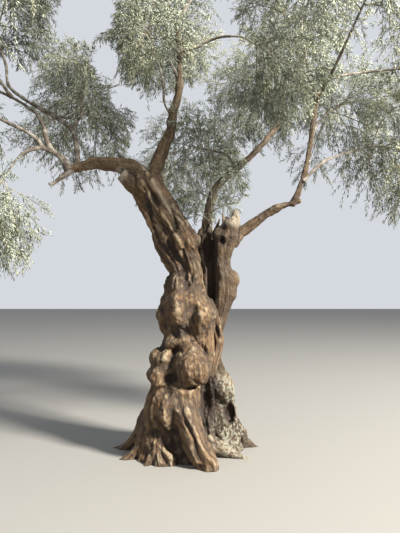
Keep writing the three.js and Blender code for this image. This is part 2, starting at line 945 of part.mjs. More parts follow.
/** A mass: a stem from its limb's tip, twigs that leave it by turns, and sprays on each twig. */
function growMass(space, stem, limbSamples, seed) {
  const random = seededRandom(seed);
  const parts = [tube(stem, TWIG_SIDES + 1, stem.radii.length - 1)];
  const reach = (space.half[0] + space.half[1] + space.half[2]) / 3;
  const count = Math.round(reach / TWIG_SPACING);
  const frames = stem.frames(count);
  for (let k = 0; k < count; k++) {
    const place = lerp(FIRST_TWIG, 1, (k + random() / 2) / count);
    const { along, across, over } = frames[Math.round(place * count)];
    const turn = k * GOLDEN_ANGLE + sway(random, TURN_SWAY);
    const heading = branchDirection(along, across, over, turn, TWIG_SLANT + sway(random, TWIG_SWAY));
    const wanted = reach * TWIG_REACH * lerp(...TWIG_LENGTHS, random()) * lerp(1, LAST_TWIG, place);
    const root = stem.point(place);
    const fits = (tried) => twigFits(twigPath(root, heading, tried), space, limbSamples);
    const length = fittingLength(wanted, fits);
    if (!length) continue;
    const path = twigPath(root, heading, length);
    parts.push(tube(path, TWIG_SIDES, 2));
    parts.push(...spraysOn(path, space, limbSamples, random));
  }
  return largestBody(wasm.Manifold.union(parts));
}

/** The stem of a mass, from just clear of its limb's tip, through the middle of its space and on. */
function stemPath(start, heading, space) {
  const toMiddle = space.middle.clone().sub(start);
  const bend = start.clone().addScaledVector(heading, toMiddle.length() * STEM_BEND);
  const end = space.middle.clone().addScaledVector(toMiddle.normalize(), space.half[2] * STEM_BEYOND);
  const curve = new THREE.QuadraticBezierCurve3(start, bend, end);
  const rows = curve.getPoints(4).map((p, i) => [...p, lerp(...STEM_RADII, i / 4)]);
  rows.splice(1, 0, [...start.clone().addScaledVector(heading, STEM_LEAD), STEM_RADII[0]]);
  return new Path(rows);
}

// Assembly

const tree = new THREE.Group();
const trunk = makeTrunk();
const grownTrunk = makeTrunk(GAP);
const limbs = makeLimbs(grownTrunk);
tree.add(meshOf(trunk, "trunk", BARK));
for (const [name, { solid }] of limbs) tree.add(meshOf(solid, name, LIMB_BARK));

const limbSamples = [...limbs.values()].flatMap(({ path }) => samplesOf(path, LIMB_SAMPLES));
for (const stem of [frontStem, rearStem]) limbSamples.push(...samplesOf(stem, STEM_SAMPLES));

MASSES.forEach((mass, index) => {
  const space = spaces[index];
  const { path } = limbs.get(mass.limb);
  const heading = path.direction(1);
  const start = path.point(1).addScaledVector(heading, GAP);
  const others = limbSamples.filter(({ at }) => at.distanceTo(start) > LIMB_TIP_ROOM);
  const solid = growMass(space, stemPath(start, heading, space), others, FIRST_SEED + index * SEED_STEP);
  tree.add(meshOf(solid, mass.name, FOLIAGE));
});

const shootSpace = spaces[spaces.length - 1];
const shootStem = stemPath(vector(SHOOTS.from), vector(SHOOTS.heading).normalize(), shootSpace);
const shootOthers = limbSamples.filter(({ at }) => at.z > SHOOTS.from[2] + SHOOTS.room);
const shoots = growMass(shootSpace, shootStem, shootOthers, SHOOT_SEED);
tree.add(meshOf(largestBody(shoots.subtract(grownTrunk)), SHOOTS.name, FOLIAGE));

export default tree;
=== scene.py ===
"""An old olive tree: a hollow, twisted trunk of two stems, its boughs and its fine grey-green foliage.

Metres, +Z up. The origin lies in the flat cut under the trunk, at ground level, and +Y is the tree's back.
"""

import logging
import math
from collections.abc import Callable, Iterable, Sequence
from dataclasses import dataclass, fields, replace
from enum import Enum

import bmesh
import bpy
import numpy as np
from bmesh.types import BMesh
from bpy.types import Material, Mesh, NodeSocket
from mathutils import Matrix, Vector, noise


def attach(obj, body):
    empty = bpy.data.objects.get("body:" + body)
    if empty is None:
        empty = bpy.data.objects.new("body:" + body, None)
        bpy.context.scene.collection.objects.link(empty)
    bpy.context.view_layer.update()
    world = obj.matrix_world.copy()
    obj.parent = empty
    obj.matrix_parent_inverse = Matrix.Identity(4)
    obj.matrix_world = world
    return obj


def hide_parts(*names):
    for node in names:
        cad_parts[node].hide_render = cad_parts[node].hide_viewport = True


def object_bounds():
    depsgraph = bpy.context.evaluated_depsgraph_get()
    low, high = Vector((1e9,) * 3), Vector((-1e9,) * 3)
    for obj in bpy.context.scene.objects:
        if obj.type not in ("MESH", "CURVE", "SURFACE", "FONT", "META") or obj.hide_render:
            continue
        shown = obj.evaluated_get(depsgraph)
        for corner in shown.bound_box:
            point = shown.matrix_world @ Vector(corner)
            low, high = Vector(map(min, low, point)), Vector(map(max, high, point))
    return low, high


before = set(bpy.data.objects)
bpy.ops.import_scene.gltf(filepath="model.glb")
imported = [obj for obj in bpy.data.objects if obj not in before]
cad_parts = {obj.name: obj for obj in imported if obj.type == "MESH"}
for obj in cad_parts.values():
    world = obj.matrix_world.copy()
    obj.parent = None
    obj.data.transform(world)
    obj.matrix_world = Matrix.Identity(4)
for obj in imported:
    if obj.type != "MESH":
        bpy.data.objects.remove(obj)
CAD_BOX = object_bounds()

LOG = logging.getLogger("olive_tree")

Array = np.ndarray
Chance = np.random.Generator
Pair = tuple[float, float]
Point = tuple[float, float, float]
Row = tuple[float, float, float, float]  # x, y, z and the radius there
Rows = tuple[Row, ...]
Colour = tuple[float, float, float, float]
Modifier = tuple[str, dict[str, object]]  # its type and its settings
Surface = Callable[[Array, Array, Array], Array]  # gives radii from centres, directions and plain radii
Lines = dict[str, "Course"]  # limbs' courses by their names

UP = np.array((0.0, 0.0, 1.0))
ASIDE = np.array((1.0, 0.0, 0.0))
GOLDEN_ANGLE = math.pi * (3 - math.sqrt(5))
TINY = 1e-6  # a distance that counts as none
LEAST = 1e-9  # the least length that a direction is divided by
STEEP = 0.97  # how much of a direction is upwards where nothing level lies across it clearly
ROUGHNESS, FINER = 1.0, 2.1  # how much lower and finer each octave of a noise is
RIDGE_GAIN, RIDGE_MEAN = 2.2, 0.5  # how much noise is raised for ridges, and about their mean height
LUMP_LEVEL = 4  # of a hollow's icosphere
LUMP_EDGE = (0.7, 1.15)  # between these shares of its size a lump's hold fades


# Numbers


def lerp(start: float, end: float, share: Array) -> Array:
    """What lies the given share of the way from start to end."""
    return start + (end - start) * share


def smooth(low: float, high: float, values: Array) -> Array:
    """0 below low, 1 above high, and an even rise between."""
    share = np.clip((values - low) / (high - low), 0, 1)
    return share * share * (3 - 2 * share)


def unit(vectors: Array) -> Array:
    """The vectors at length 1."""
    return vectors / np.maximum(np.linalg.norm(vectors, axis=-1, keepdims=True), LEAST)


def length_of(vectors: Array) -> Array:
    """The length of each vector."""
    return np.linalg.norm(vectors, axis=-1)


def turned(first: Array, second: Array, turn: Array) -> Array:
    """The directions that lie so many radians from the first ones towards the second."""
    return first * np.cos(turn)[..., None] + second * np.sin(turn)[..., None]


def across_and_over(along: Array) -> tuple[Array, Array]:
    """Two directions across each direction, the first one level.

    Args:
        along: The directions, at length 1.

    Returns:
        The two, in arrays of the same shape.
    """
    aside = np.where(np.abs(along[..., 2:]) > STEEP, ASIDE, UP)
    across = unit(np.cross(along, aside))
    return across, np.cross(along, across)


def noise_at(points: Array, scale: Sequence[float], octaves: int = 1, seed: float = 0.0) -> Array:
    """Smooth noise, about -1 to 1, at each point of a stretched space.

    Args:
        points: The places, one a row.
        scale: How many waves there are in a metre along X, Y and Z.
        octaves: How many finer and finer waves are added up.
        seed: Moves the pattern, so that two surfaces differ.

    Returns:
        One number for each point.
    """
    rows = (points * np.array(scale) + seed).tolist()
    if octaves == 1:
        return np.array([noise.noise(row) for row in rows])
    return np.array([noise.fractal(row, ROUGHNESS, FINER, octaves) for row in rows])


def ridges_at(points: Array, scale: Sequence[float], octaves: int, seed: float = 0.0) -> Array:
    """Rounded ridges with sharp furrows between them, 0 to 1, in the place of smooth noise."""
    return np.clip(np.abs(noise_at(points, scale, octaves, seed)) * RIDGE_GAIN, 0, 1)


# Courses that wood follows


class Course:
    """A smooth line through rows of x, y, z and radius, along which a share runs from 0 to 1."""

    MEASURES = 200  # points that its length is measured with
    NUDGE = 1e-3  # the share over which its direction is taken
    SIDEWAYS = 0.8  # how far it may start along X and still be steered by X

    def __init__(self, rows: Sequence[Row]) -> None:
        """Keeps the rows, with one more beyond each end to steer by.

        Args:
            rows: The course's points, each with its radius.
        """
        self.rows = np.array(rows, float)
        places = self.rows[:, :3]
        self.knots = np.vstack([2 * places[:1] - places[1:2], places, 2 * places[-1:] - places[-2:-1]])
        steps = np.diff(self.at(np.linspace(0, 1, self.MEASURES)), axis=0)
        self.length = float(length_of(steps).sum())

    def _stretch(self, share: Array) -> tuple[Array, Array]:
        """Which stretch between two rows each share falls in, and how far along it.

        Args:
            share: Where along the course.

        Returns:
            The numbers of the stretches, and the parts of them.
        """
        place = np.clip(share, 0, 1) * (len(self.rows) - 1)
        stretch = np.minimum(place.astype(int), len(self.rows) - 2)
        return stretch, place - stretch

    def at(self, share: Array) -> Array:
        """The points at the given shares.

        Args:
            share: Where along the course, from 0 to 1.

        Returns:
            A point for each share.
        """
        stretch, part = self._stretch(share)
        part = part[..., None]
        before, start, end, after = (self.knots[stretch + i] for i in range(4))
        leave, arrive = (end - before) / 2, (after - start) / 2
        cubic = 2 * start - 2 * end + leave + arrive
        square = -3 * start + 3 * end - 2 * leave - arrive
        return ((cubic * part + square) * part + leave) * part + start

    def direction(self, share: Array) -> Array:
        """The unit directions at the given shares."""
        return unit(self.at(np.minimum(share + self.NUDGE, 1)) - self.at(np.maximum(share - self.NUDGE, 0)))

    def radius(self, share: Array) -> Array:
        """The radii at the given shares."""
        stretch, part = self._stretch(share)
        return lerp(self.rows[stretch, 3], self.rows[stretch + 1, 3], smooth(0, 1, part))

    def frames(self, steps: int) -> tuple[Array, Array, Array]:
        """Directions along and across the course at each step, carried along it without twisting.

        Args:
            steps: How many steps there are.

        Returns:
            The directions along it, and two across it.
        """
        along = self.direction(np.linspace(0, 1, steps + 1))
        across = np.zeros_like(along)
        aside = ASIDE if abs(along[0, 0]) < self.SIDEWAYS else np.array((0.0, 1.0, 0.0))
        for i, ahead in enumerate(along):
            aside = unit(aside - ahead * aside.dot(ahead))
            across[i] = aside
        return along, across, np.cross(along, across)

    def samples(self, step: float) -> tuple[Array, Array]:
        """Points a step apart, and the radii there."""
        share = np.linspace(0, 1, max(2, math.ceil(self.length / step) + 1))
        return self.at(share), self.radius(share)


def add_tube(work: BMesh, course: Course, sides: int, step: float, surface: Surface | None = None) -> None:
    """Adds a tube: a grid is wrapped round the course and its seam merged. Its ends stay open.

    Args:
        work: The mesh that it is added to.
        course: The line that it follows.
        sides: How many faces run round it.
        step: About how long each of them is.
        surface: What its radii are if they aren't the plain ones.
    """
    rings = round(course.length / step)
    verts = bmesh.ops.create_grid(work, x_segments=sides, y_segments=rings, size=0.5)["verts"]
    flat = np.array([vert.co[:2] for vert in verts]) + 0.5  # how far round it and along it, from 0 to 1
    ring = np.rint(flat[:, 1] * rings).astype(int)
    turn = flat[:, 0] * 2 * math.pi
    _, across, over = course.frames(rings)
    outward = turned(across[ring], over[ring], turn)
    centre, radius = course.at(flat[:, 1]), course.radius(flat[:, 1])
    if surface is not None:
        radius = surface(centre, outward, radius)
    for vert, place in zip(verts, (centre + outward * radius[:, None]).tolist()):
        vert.co = place
    bmesh.ops.remove_doubles(work, verts=verts, dist=TINY)


def close_ends(work: BMesh) -> None:
    """Closes every open end and turns all faces outwards.

    Args:
        work: The mesh that is closed.
    """
    open_edges = [edge for edge in work.edges if edge.is_boundary]
    bmesh.ops.holes_fill(work, edges=open_edges, sides=0)
    bmesh.ops.recalc_face_normals(work, faces=work.faces[:])


def linked(name: str, data: bpy.types.ID) -> bpy.types.Object:
    """An object in the scene, at the origin, that holds a mesh, a camera or a light.

    Args:
        name: Its name.
        data: What it holds.

    Returns:
        The object.
    """
    made = bpy.data.objects.new(name, data)
    bpy.context.scene.collection.objects.link(made)
    return made


def with_modifiers(mesh: Mesh, modifiers: Iterable[Modifier]) -> Mesh:
    """The mesh as a row of modifiers leaves it.

    Args:
        mesh: What they work on.
        modifiers: Each one's type and its settings, in order.

    Returns:
        A new mesh.
    """
    carrier = linked("carrier", mesh)
    for kind, settings in modifiers:
        modifier = carrier.modifiers.new(kind.title(), kind)
        for key, value in settings.items():
            setattr(modifier, key, value)
    graph = bpy.context.evaluated_depsgraph_get()
    made = bpy.data.meshes.new_from_object(carrier.evaluated_get(graph))
    bpy.data.objects.remove(carrier)
    return made


def mesh_of(work: BMesh, name: str) -> Mesh:
    """The working mesh as a mesh, and frees it.

    Args:
        work: The working mesh.
        name: The new mesh's name.

    Returns:
        The new mesh.
    """
    mesh = bpy.data.meshes.new(name)
    work.to_mesh(mesh)
    work.free()
    return mesh


def add_lump(work: BMesh, lump: "Lump") -> None:
    """Adds a rounded lump.

    Args:
        work: The mesh that it is added to.
        lump: Its place and size.
    """
    verts = bmesh.ops.create_icosphere(work, subdivisions=LUMP_LEVEL, radius=1)["verts"]
    bmesh.ops.scale(work, vec=lump.half, verts=verts)
    bmesh.ops.translate(work, vec=lump.at, verts=verts)


def fused(work: BMesh, voxel: float, hollows: Sequence["Lump"] = ()) -> Mesh:
    """Overlapping closed bodies as one skin of even faces, with hollows cut out of it.

    Args:
        work: The bodies.
        voxel: The size of the faces.
        hollows: The lumps that are cut out.

    Returns:
        The new mesh.
    """
    close_ends(work)
    remesh = ("REMESH", {"mode": "VOXEL", "voxel_size": voxel})
    whole = with_modifiers(mesh_of(work, "bodies"), [remesh])
    if not hollows:
        return whole
    cutters = bmesh.new()
    for hollow in hollows:
        add_lump(cutters, hollow)
    cutter = bpy.data.objects.new("cutter", mesh_of(cutters, "cutter"))
    cut = ("BOOLEAN", {"operation": "DIFFERENCE", "solver": "MANIFOLD", "object": cutter})
    carved = with_modifiers(whole, [cut, remesh])
    bpy.data.objects.remove(cutter)
    return carved


class Skin:
    """A mesh whose points are moved and measured all at once."""

    def __init__(self, mesh: Mesh) -> None:
        """Reads the mesh's points and how they join.

        Args:
            mesh: The mesh, which stays the skin's own.
        """
        self.mesh = mesh
        places = np.zeros((len(mesh.vertices), 3), np.float32)
        mesh.vertices.foreach_get("co", places.ravel())
        self.points = places.astype(float)
        self.edges = np.zeros((len(mesh.edges), 2), np.int32)
        mesh.edges.foreach_get("vertices", self.edges.ravel())
        self.neighbours = np.maximum(np.bincount(self.edges.ravel(), minlength=len(self.points)), 1)

    def write(self) -> None:
        """Puts the points back into the mesh."""
        self.mesh.vertices.foreach_set("co", self.points.astype(np.float32).ravel())
        self.mesh.update()

    def normals(self) -> Array:
        """Each point's direction outwards.

        Returns:
            A direction for each point.
        """
        self.write()
        found = np.zeros((len(self.points), 3), np.float32)
        self.mesh.vertex_normals.foreach_get("vector", found.ravel())
        return found.astype(float)

    def averaged(self, values: Array, rounds: int) -> Array:
        """The values, each drawn halfway to its neighbours' mean for some rounds.

        Args:
            values: A number, or three, for each point.
            rounds: How many times they are drawn.

        Returns:
            The evened values.
        """
        first, second = self.edges.T
        count = len(self.points)
        columns = [np.array(column, float) for column in np.atleast_2d(values.T)]
        for _ in range(rounds):
            for i, column in enumerate(columns):
                around = np.bincount(first, column[second], count)
                around += np.bincount(second, column[first], count)
                columns[i] = (column + around / self.neighbours) / 2
        return np.array(columns).T if values.ndim > 1 else columns[0]

    def relax(self, rounds: int) -> None:
        """Smooths the surface."""
        self.points = self.averaged(self.points, rounds)

    def push(self, heights: Array) -> None:
        """Moves each point outwards by its height."""
        self.points += self.normals() * heights[:, None]

    def sinking(self, rounds: int) -> Array:
        """How far each point lies below its surroundings, in metres, or above them where it is negative."""
        return np.einsum("ij,ij->i", self.averaged(self.points, rounds) - self.points, self.normals())

    def keep(self, name: str, values: Array) -> None:
        """Keeps a number, or three, for each point as an attribute that a finish reads.

        Args:
            name: The attribute's name.
            values: What it holds.
        """
        kind, field_name = ("FLOAT", "value") if values.ndim == 1 else ("FLOAT_VECTOR", "vector")
        attribute = self.mesh.attributes.new(name, kind, "POINT")
        attribute.data.foreach_set(field_name, values.astype(np.float32).ravel())

    def thinned(self, most: int) -> "Skin":
        """The skin with larger faces where it is plain, so many triangles at most.

        Args:
            most: How many triangles it may have.

        Returns:
            A new skin.
        """
        self.write()
        triangles = sum(len(face.vertices) - 2 for face in self.mesh.polygons)
        return Skin(with_modifiers(self.mesh, [("DECIMATE", {"ratio": min(1.0, most / triangles)})]))

    def cut_at_ground(self) -> None:
        """Cuts off what lies below the ground and closes the cut."""
        self.write()
        work = bmesh.new()
        work.from_mesh(self.mesh)
        everything = work.verts[:] + work.edges[:] + work.faces[:]
        plane = {"plane_co": (0, 0, 0), "plane_no": (0, 0, 1)}
        bmesh.ops.bisect_plane(work, geom=everything, clear_inner=True, **plane)
        rim = [edge for edge in work.edges if edge.is_boundary]
        floor = bmesh.ops.holes_fill(work, edges=rim, sides=0)["faces"]
        bmesh.ops.triangulate(work, faces=floor)
        work.to_mesh(self.mesh)
        work.free()


class Grain:
    """Which way the wood runs: each point's place beside the nearest of some courses."""

    STEP = 0.02  # between the points that stand for a course
    APART = 7.3  # what keeps the patterns on two courses from being alike
    CHUNK = 8192  # points that are looked up at once

    def __init__(self, courses: Sequence[Course], twist: float) -> None:
        """Samples the courses.

        Args:
            courses: Which way each piece of wood runs.
            twist: How far the grain turns, in radians to a metre.
        """
        self.twist = twist
        parts = []
        for i, course in enumerate(courses):
            steps = max(2, math.ceil(course.length / self.STEP))
            share = np.linspace(0, 1, steps + 1)
            run = share * course.length + i * self.APART
            parts.append((course.at(share), np.stack(course.frames(steps), 1), course.radius(share), run))
        self.centres, self.axes, self.radii, self.runs = (np.concatenate(part) for part in zip(*parts))

    def read(self, points: Array) -> tuple[Array, Array]:
        """Each point's place beside its course, turned back by the twist, and the course's radius there.

        Args:
            points: The places.

        Returns:
            A place in the grain for each point, and the radii.
        """
        nearest = np.zeros(len(points), int)
        for start in range(0, len(points), self.CHUNK):
            some = points[start : start + self.CHUNK]
            square = (some**2).sum(1)[:, None] - 2 * some @ self.centres.T + (self.centres**2).sum(1)
            nearest[start : start + self.CHUNK] = (np.sqrt(np.maximum(square, 0)) - self.radii).argmin(1)
        offset = points - self.centres[nearest]
        along, across, over = (np.einsum("ij,ij->i", offset, self.axes[nearest, k]) for k in range(3))
        run = self.runs[nearest] + along
        turn = run * self.twist
        aside = across * np.cos(turn) + over * np.sin(turn)
        beyond = over * np.cos(turn) - across * np.sin(turn)
        return np.column_stack([aside, beyond, run]), self.radii[nearest]


# The pieces of wood


@dataclass(frozen=True)
class Lump:
    """A rounded lump or hollow: its middle and half sizes."""

    at: Point
    half: Point

    def reach(self, centre: Array, outward: Array) -> Array:
        """How far along each ray from a course the lump reaches, or 0 where the ray misses it.

        Args:
            centre: Where the rays start.
            outward: Which way they go.

        Returns:
            A distance for each ray.
        """
        half = np.array(self.half)
        start = (centre - np.array(self.at)) / half
        along = outward / half
        # A ray meets the lump where a quadratic in the distance is 0
        a = (along**2).sum(1)
        b = (start * along).sum(1)
        left = b * b - a * ((start**2).sum(1) - 1)
        return np.where(left > 0, np.maximum((np.sqrt(np.maximum(left, 0)) - b) / a, 0), 0)


@dataclass(frozen=True)
class Flutes:
    """The furrows that wind up a stem, and the finer sinews between them."""

    SECOND = 0.6  # the second wave's height, as a share of the first one's
    # A noise bends the sinews: its height, its scale and how much it differs round the stem
    BEND, BEND_SCALE, BEND_ROUND = 1.1, (0.8, 0.8, 1.5), 0.7
    SINEW_BEND, SINEW_MEAN = 2.4, 0.64

    count: int
    depth: float  # as a share of the stem's radius
    turn: float  # radians to a metre
    start: float  # where the first wave starts, in radians
    sinews: int
    sinew_depth: float

    def swell(self, centre: Array, outward: Array) -> Array:
        """The share of the plain radius at each point of the surface.

        Args:
            centre: The points on the course.
            outward: The directions outwards from them.

        Returns:
            A share for each point.
        """
        angle = np.arctan2(outward[:, 1], outward[:, 0]) - self.turn * centre[:, 2]
        first = np.sin(self.count * angle + self.start)
        broad = first + self.SECOND * np.sin((self.count - 2) * angle - 2 * self.start)
        bend = self.BEND * noise_at(outward * self.BEND_ROUND + centre, self.BEND_SCALE, 2, self.start)
        sinew = np.abs(np.sin(self.sinews * angle / 2 + self.SINEW_BEND * bend))
        return 1 + self.depth * broad + self.sinew_depth * (sinew - self.SINEW_MEAN)


@dataclass(frozen=True)
class Stem:
    """One stem of the trunk: its course, its furrows and the burls on it."""

    EASE = 0.04  # over which a burl blends into the stem

    rows: Rows
    flutes: Flutes
    burls: tuple[Lump, ...]

    def surface(self, centre: Array, outward: Array, radius: Array) -> Array:
        """The radius with furrows and burls.

        Args:
            centre: The points on the course.
            outward: The directions outwards from them.
            radius: The plain radii there.

        Returns:
            The radii with them.
        """
        size = radius * self.flutes.swell(centre, outward)
        for burl in self.burls:
            other = burl.reach(centre, outward)
            near = np.maximum(self.EASE - np.abs(size - other), 0) / self.EASE
            size = np.maximum(size, other) + near**2 * self.EASE / 4
        return size


@dataclass(frozen=True)
class Splinter:
    """A spike of broken wood that leans as it rises."""

    MIDDLE = 0.6  # how thick it is halfway, as a share of its two ends' thicknesses added up

    foot: Point
    lean: Pair
    height: float
    thick: float
    blunt: float = 0.36  # its tip's radius as a share of its thickness

    def course(self) -> Course:
        """The line that it follows.

        Returns:
            Its course, thinner at the tip.
        """
        tip = (self.foot[0] + self.lean[0], self.foot[1] + self.lean[1], self.foot[2] + self.height)
        half = tuple((a + b) / 2 for a, b in zip(self.foot, tip))
        middle = self.thick * (1 + self.blunt) * self.MIDDLE
        return Course([(*self.foot, self.thick), (*half, middle), (*tip, self.thick * self.blunt)])


@dataclass(frozen=True)
class Flare:
    """A root flare: it leaves the trunk steeply and runs out along the ground."""

    ROWS = 5
    START = 0.17  # where it starts, as a share of its reach
    SINK = 0.45  # how far its foot sinks, as a share of its thickness
    OUT = 1.35  # how sharply it turns outwards
    DOWN = 1.7  # how sharply it comes down
    THICKEST = 1.4  # how early it is thickest
    NARROW = (0.55, 0.5)  # how thin it is where it starts and at its tip

    angle: float  # degrees
    centre: Pair
    reach: float
    height: float
    thick: float

    def course(self) -> Course:
        """The line that it follows, thickest about a third of the way out.

        Returns:
            Its course, from inside the trunk to its tip in the ground.
        """
        turn = math.radians(self.angle)
        start, tip = self.NARROW
        rows = []
        for i in range(self.ROWS + 1):
            share = i / self.ROWS
            out = self.reach * lerp(self.START, 1, share**self.OUT)
            swell = math.sin(math.pi * min(1, share * self.THICKEST)) ** 2
            x, y = self.centre[0] + math.cos(turn) * out, self.centre[1] + math.sin(turn) * out
            z = self.height * (1 - share) ** self.DOWN - self.thick * self.SINK * share
            rows.append((x, y, z, self.thick * lerp(start, 1, swell) * lerp(1, tip, share)))
        return Course(rows)


@dataclass(frozen=True)
class Stroke:
    """A ridge, or a groove where its height is below 0, across the front of the wood."""

    REACH = 3  # how many widths away it is felt, and how many points stand for a width of its line
    FACING = (-0.1, 0.4)  # how far a face has to look to the front to take part

    points: tuple[Pair, ...]  # x and z, as seen from the front
    width: float
    height: float

    def weight(self, points: Array, normals: Array) -> Array:
        """How strongly each point of a skin takes part: 1 on the line, 0 away from it and on the back.

        Args:
            points: The skin's points.
            normals: Their directions outwards.

        Returns:
            A weight for each point.
        """
        line, _ = Course([(x, 0, z, 0) for x, z in self.points]).samples(self.width / self.REACH)
        flat, line = points[:, [0, 2]], line[:, [0, 2]]
        reach = self.REACH * self.width
        near = ((flat > line.min(0) - reach) & (flat < line.max(0) + reach)).all(1)
        offsets = flat[near][:, None] - line[None]
        distance = np.sqrt((offsets**2).sum(2).min(1))
        weight = np.zeros(len(points))
        weight[near] = np.exp(-((distance / self.width) ** 2)) * smooth(*self.FACING, -normals[near, 1])
        return weight


# The trunk's sizes

FRONT_STEM: Rows = (
    (-0.2, 0.07, -0.06, 0.37),
    (-0.2, 0.07, 0.13, 0.31),
    (-0.2, 0.06, 0.33, 0.265),
    (-0.195, 0.05, 0.52, 0.235),
    (-0.15, 0.04, 0.68, 0.225),
    (-0.1, 0.03, 0.86, 0.232),
    (-0.06, 0.02, 1.06, 0.208),
    (-0.038, 0.01, 1.2, 0.206),
    (-0.055, 0.0, 1.33, 0.262),
    (-0.055, 0.0, 1.5, 0.258),
    (-0.062, 0.0, 1.68, 0.196),
    (-0.035, 0.0, 1.83, 0.158),
    (-0.085, 0.0, 1.96, 0.176),
    (-0.16, 0.0, 2.15, 0.198),
    (-0.245, 0.0, 2.34, 0.174),
    (-0.37, 0.0, 2.545, 0.156),
    (-0.44, 0.0, 2.69, 0.156),
    (-0.468, 0.0, 2.8, 0.118),
)

REAR_STEM: Rows = (
    (0.33, 0.35, -0.06, 0.25),
    (0.33, 0.35, 0.25, 0.182),
    (0.325, 0.335, 0.52, 0.142),
    (0.31, 0.31, 0.68, 0.13),
    (0.262, 0.25, 0.81, 0.1),
    (0.228, 0.2, 0.94, 0.086),
    (0.222, 0.15, 1.12, 0.082),
    (0.275, 0.11, 1.35, 0.09),
    (0.338, 0.1, 1.56, 0.098),
    (0.345, 0.095, 1.76, 0.096),
    (0.325, 0.09, 1.95, 0.084),
    (0.345, 0.09, 2.13, 0.112),
    (0.39, 0.095, 2.23, 0.118),
    (0.425, 0.1, 2.32, 0.074),
)

BACK_WALL: Rows = (
    (0.13, 0.36, -0.06, 0.19),
    (0.13, 0.32, 0.5, 0.15),
    (0.15, 0.23, 1.0, 0.11),
    (0.17, 0.215, 1.35, 0.096),
    (0.18, 0.225, 1.7, 0.096),
    (0.175, 0.22, 2.0, 0.116),
    (0.13, 0.215, 2.22, 0.12),
)

CLEFT_TONGUE: Rows = (
    (0.13, 0.06, 1.56, 0.046),
    (0.15, 0.05, 1.75, 0.034),
    (0.165, 0.06, 1.93, 0.018),
)

LOOSE_STRIP: Rows = (
    (-0.315, 0.03, 2.74, 0.02),
    (-0.205, 0.04, 2.56, 0.018),
    (-0.105, 0.06, 2.43, 0.024),
    (-0.02, 0.1, 2.28, 0.04),
)

LOST_BOUGH: Rows = (
    (-0.42, 0.0, 2.6, 0.096),
    (-0.56, -0.05, 2.69, 0.084),
    (-0.69, -0.08, 2.8, 0.064),
)

BURL_LEDGE: Rows = (
    (-0.3, 0.05, 0.67, 0.09),
    (-0.24, -0.06, 0.67, 0.11),
    (-0.13, -0.11, 0.61, 0.125),
    (-0.01, -0.1, 0.59, 0.12),
    (0.06, -0.03, 0.65, 0.085),
)

FRONT_LEG: Rows = (
    (-0.06, -0.02, 0.78, 0.1),
    (-0.06, -0.12, 0.56, 0.13),
    (-0.01, -0.2, 0.36, 0.135),
    (0.08, -0.29, 0.17, 0.12),
    (0.17, -0.37, 0.02, 0.1),
    (0.2, -0.4, -0.08, 0.08),
)

FRONT_ROPE: Rows = (
    (0.11, -0.07, 1.62, 0.05),
    (0.2, -0.06, 1.42, 0.054),
    (0.196, -0.07, 1.18, 0.054),
    (0.18, -0.07, 0.96, 0.054),
    (0.13, -0.06, 0.76, 0.052),
)

RIGHT_ROPE: Rows = (
    (0.19, 0.02, 1.56, 0.046),
    (0.255, 0.03, 1.35, 0.05),
    (0.29, 0.03, 1.11, 0.052),
    (0.235, 0.02, 0.93, 0.052),
    (0.19, 0.02, 0.78, 0.046),
)

FRONT_BURLS = (
    Lump((0.0, -0.16, 0.915), (0.18, 0.19, 0.2)),
    Lump((-0.16, -0.07, 0.5), (0.2, 0.24, 0.24)),
    Lump((-0.3, -0.06, 0.99), (0.1, 0.14, 0.1)),
    Lump((-0.295, -0.09, 0.82), (0.115, 0.15, 0.115)),
    Lump((-0.2, -0.13, 0.93), (0.09, 0.1, 0.15)),
    Lump((-0.1, -0.08, 1.14), (0.14, 0.15, 0.09)),
    Lump((0.112, -0.11, 1.41), (0.105, 0.16, 0.15)),
    Lump((-0.06, -0.105, 1.49), (0.215, 0.15, 0.17)),
    Lump((-0.02, -0.04, 2.13), (0.13, 0.15, 0.12)),
    Lump((-0.39, 0.02, 2.775), (0.12, 0.1, 0.09)),
)

REAR_BURLS = (
    Lump((0.425, 0.07, 1.745), (0.088, 0.09, 0.1)),
    Lump((0.405, 0.06, 1.62), (0.076, 0.08, 0.08)),
    Lump((0.345, 0.08, 2.19), (0.118, 0.11, 0.09)),
    Lump((0.335, 0.27, 0.63), (0.12, 0.13, 0.15)),
)

HOLLOWS = (
    Lump((0.165, 0.04, 0.52), (0.09, 0.2, 0.3)),
    Lump((0.4, 0.18, 0.4), (0.075, 0.12, 0.105)),
    Lump((0.182, 0.05, 2.08), (0.062, 0.12, 0.2)),
    Lump((0.322, -0.01, 2.15), (0.022, 0.05, 0.038)),
)

SPLINTERS = (
    Splinter((0.02, 0.19, 2.18), (-0.04, 0.0), 0.15, 0.042),
    Splinter((0.09, 0.17, 2.19), (0.03, 0.02), 0.12, 0.038),
    Splinter((0.16, 0.15, 2.17), (0.05, 0.0), 0.15, 0.04),
    Splinter((0.235, 0.13, 2.15), (0.07, 0.01), 0.24, 0.036),
    Splinter((0.06, 0.12, 2.14), (-0.05, -0.02), 0.13, 0.04),
    Splinter((0.13, 0.1, 2.12), (0.02, -0.03), 0.14, 0.036),
    Splinter((0.2, 0.17, 2.16), (-0.02, 0.03), 0.2, 0.04),
    Splinter((0.36, 0.07, 2.2), (-0.03, 0.0), 0.25, 0.04),
    Splinter((0.41, 0.05, 2.2), (0.0, -0.01), 0.19, 0.07, 0.6),
    Splinter((0.45, 0.09, 2.22), (0.01, 0.02), 0.25, 0.06, 0.5),
    Splinter((0.47, 0.12, 2.2), (0.03, 0.02), 0.12, 0.055, 0.5),
    Splinter((0.39, 0.15, 2.2), (-0.02, 0.03), 0.2, 0.06, 0.4),
)

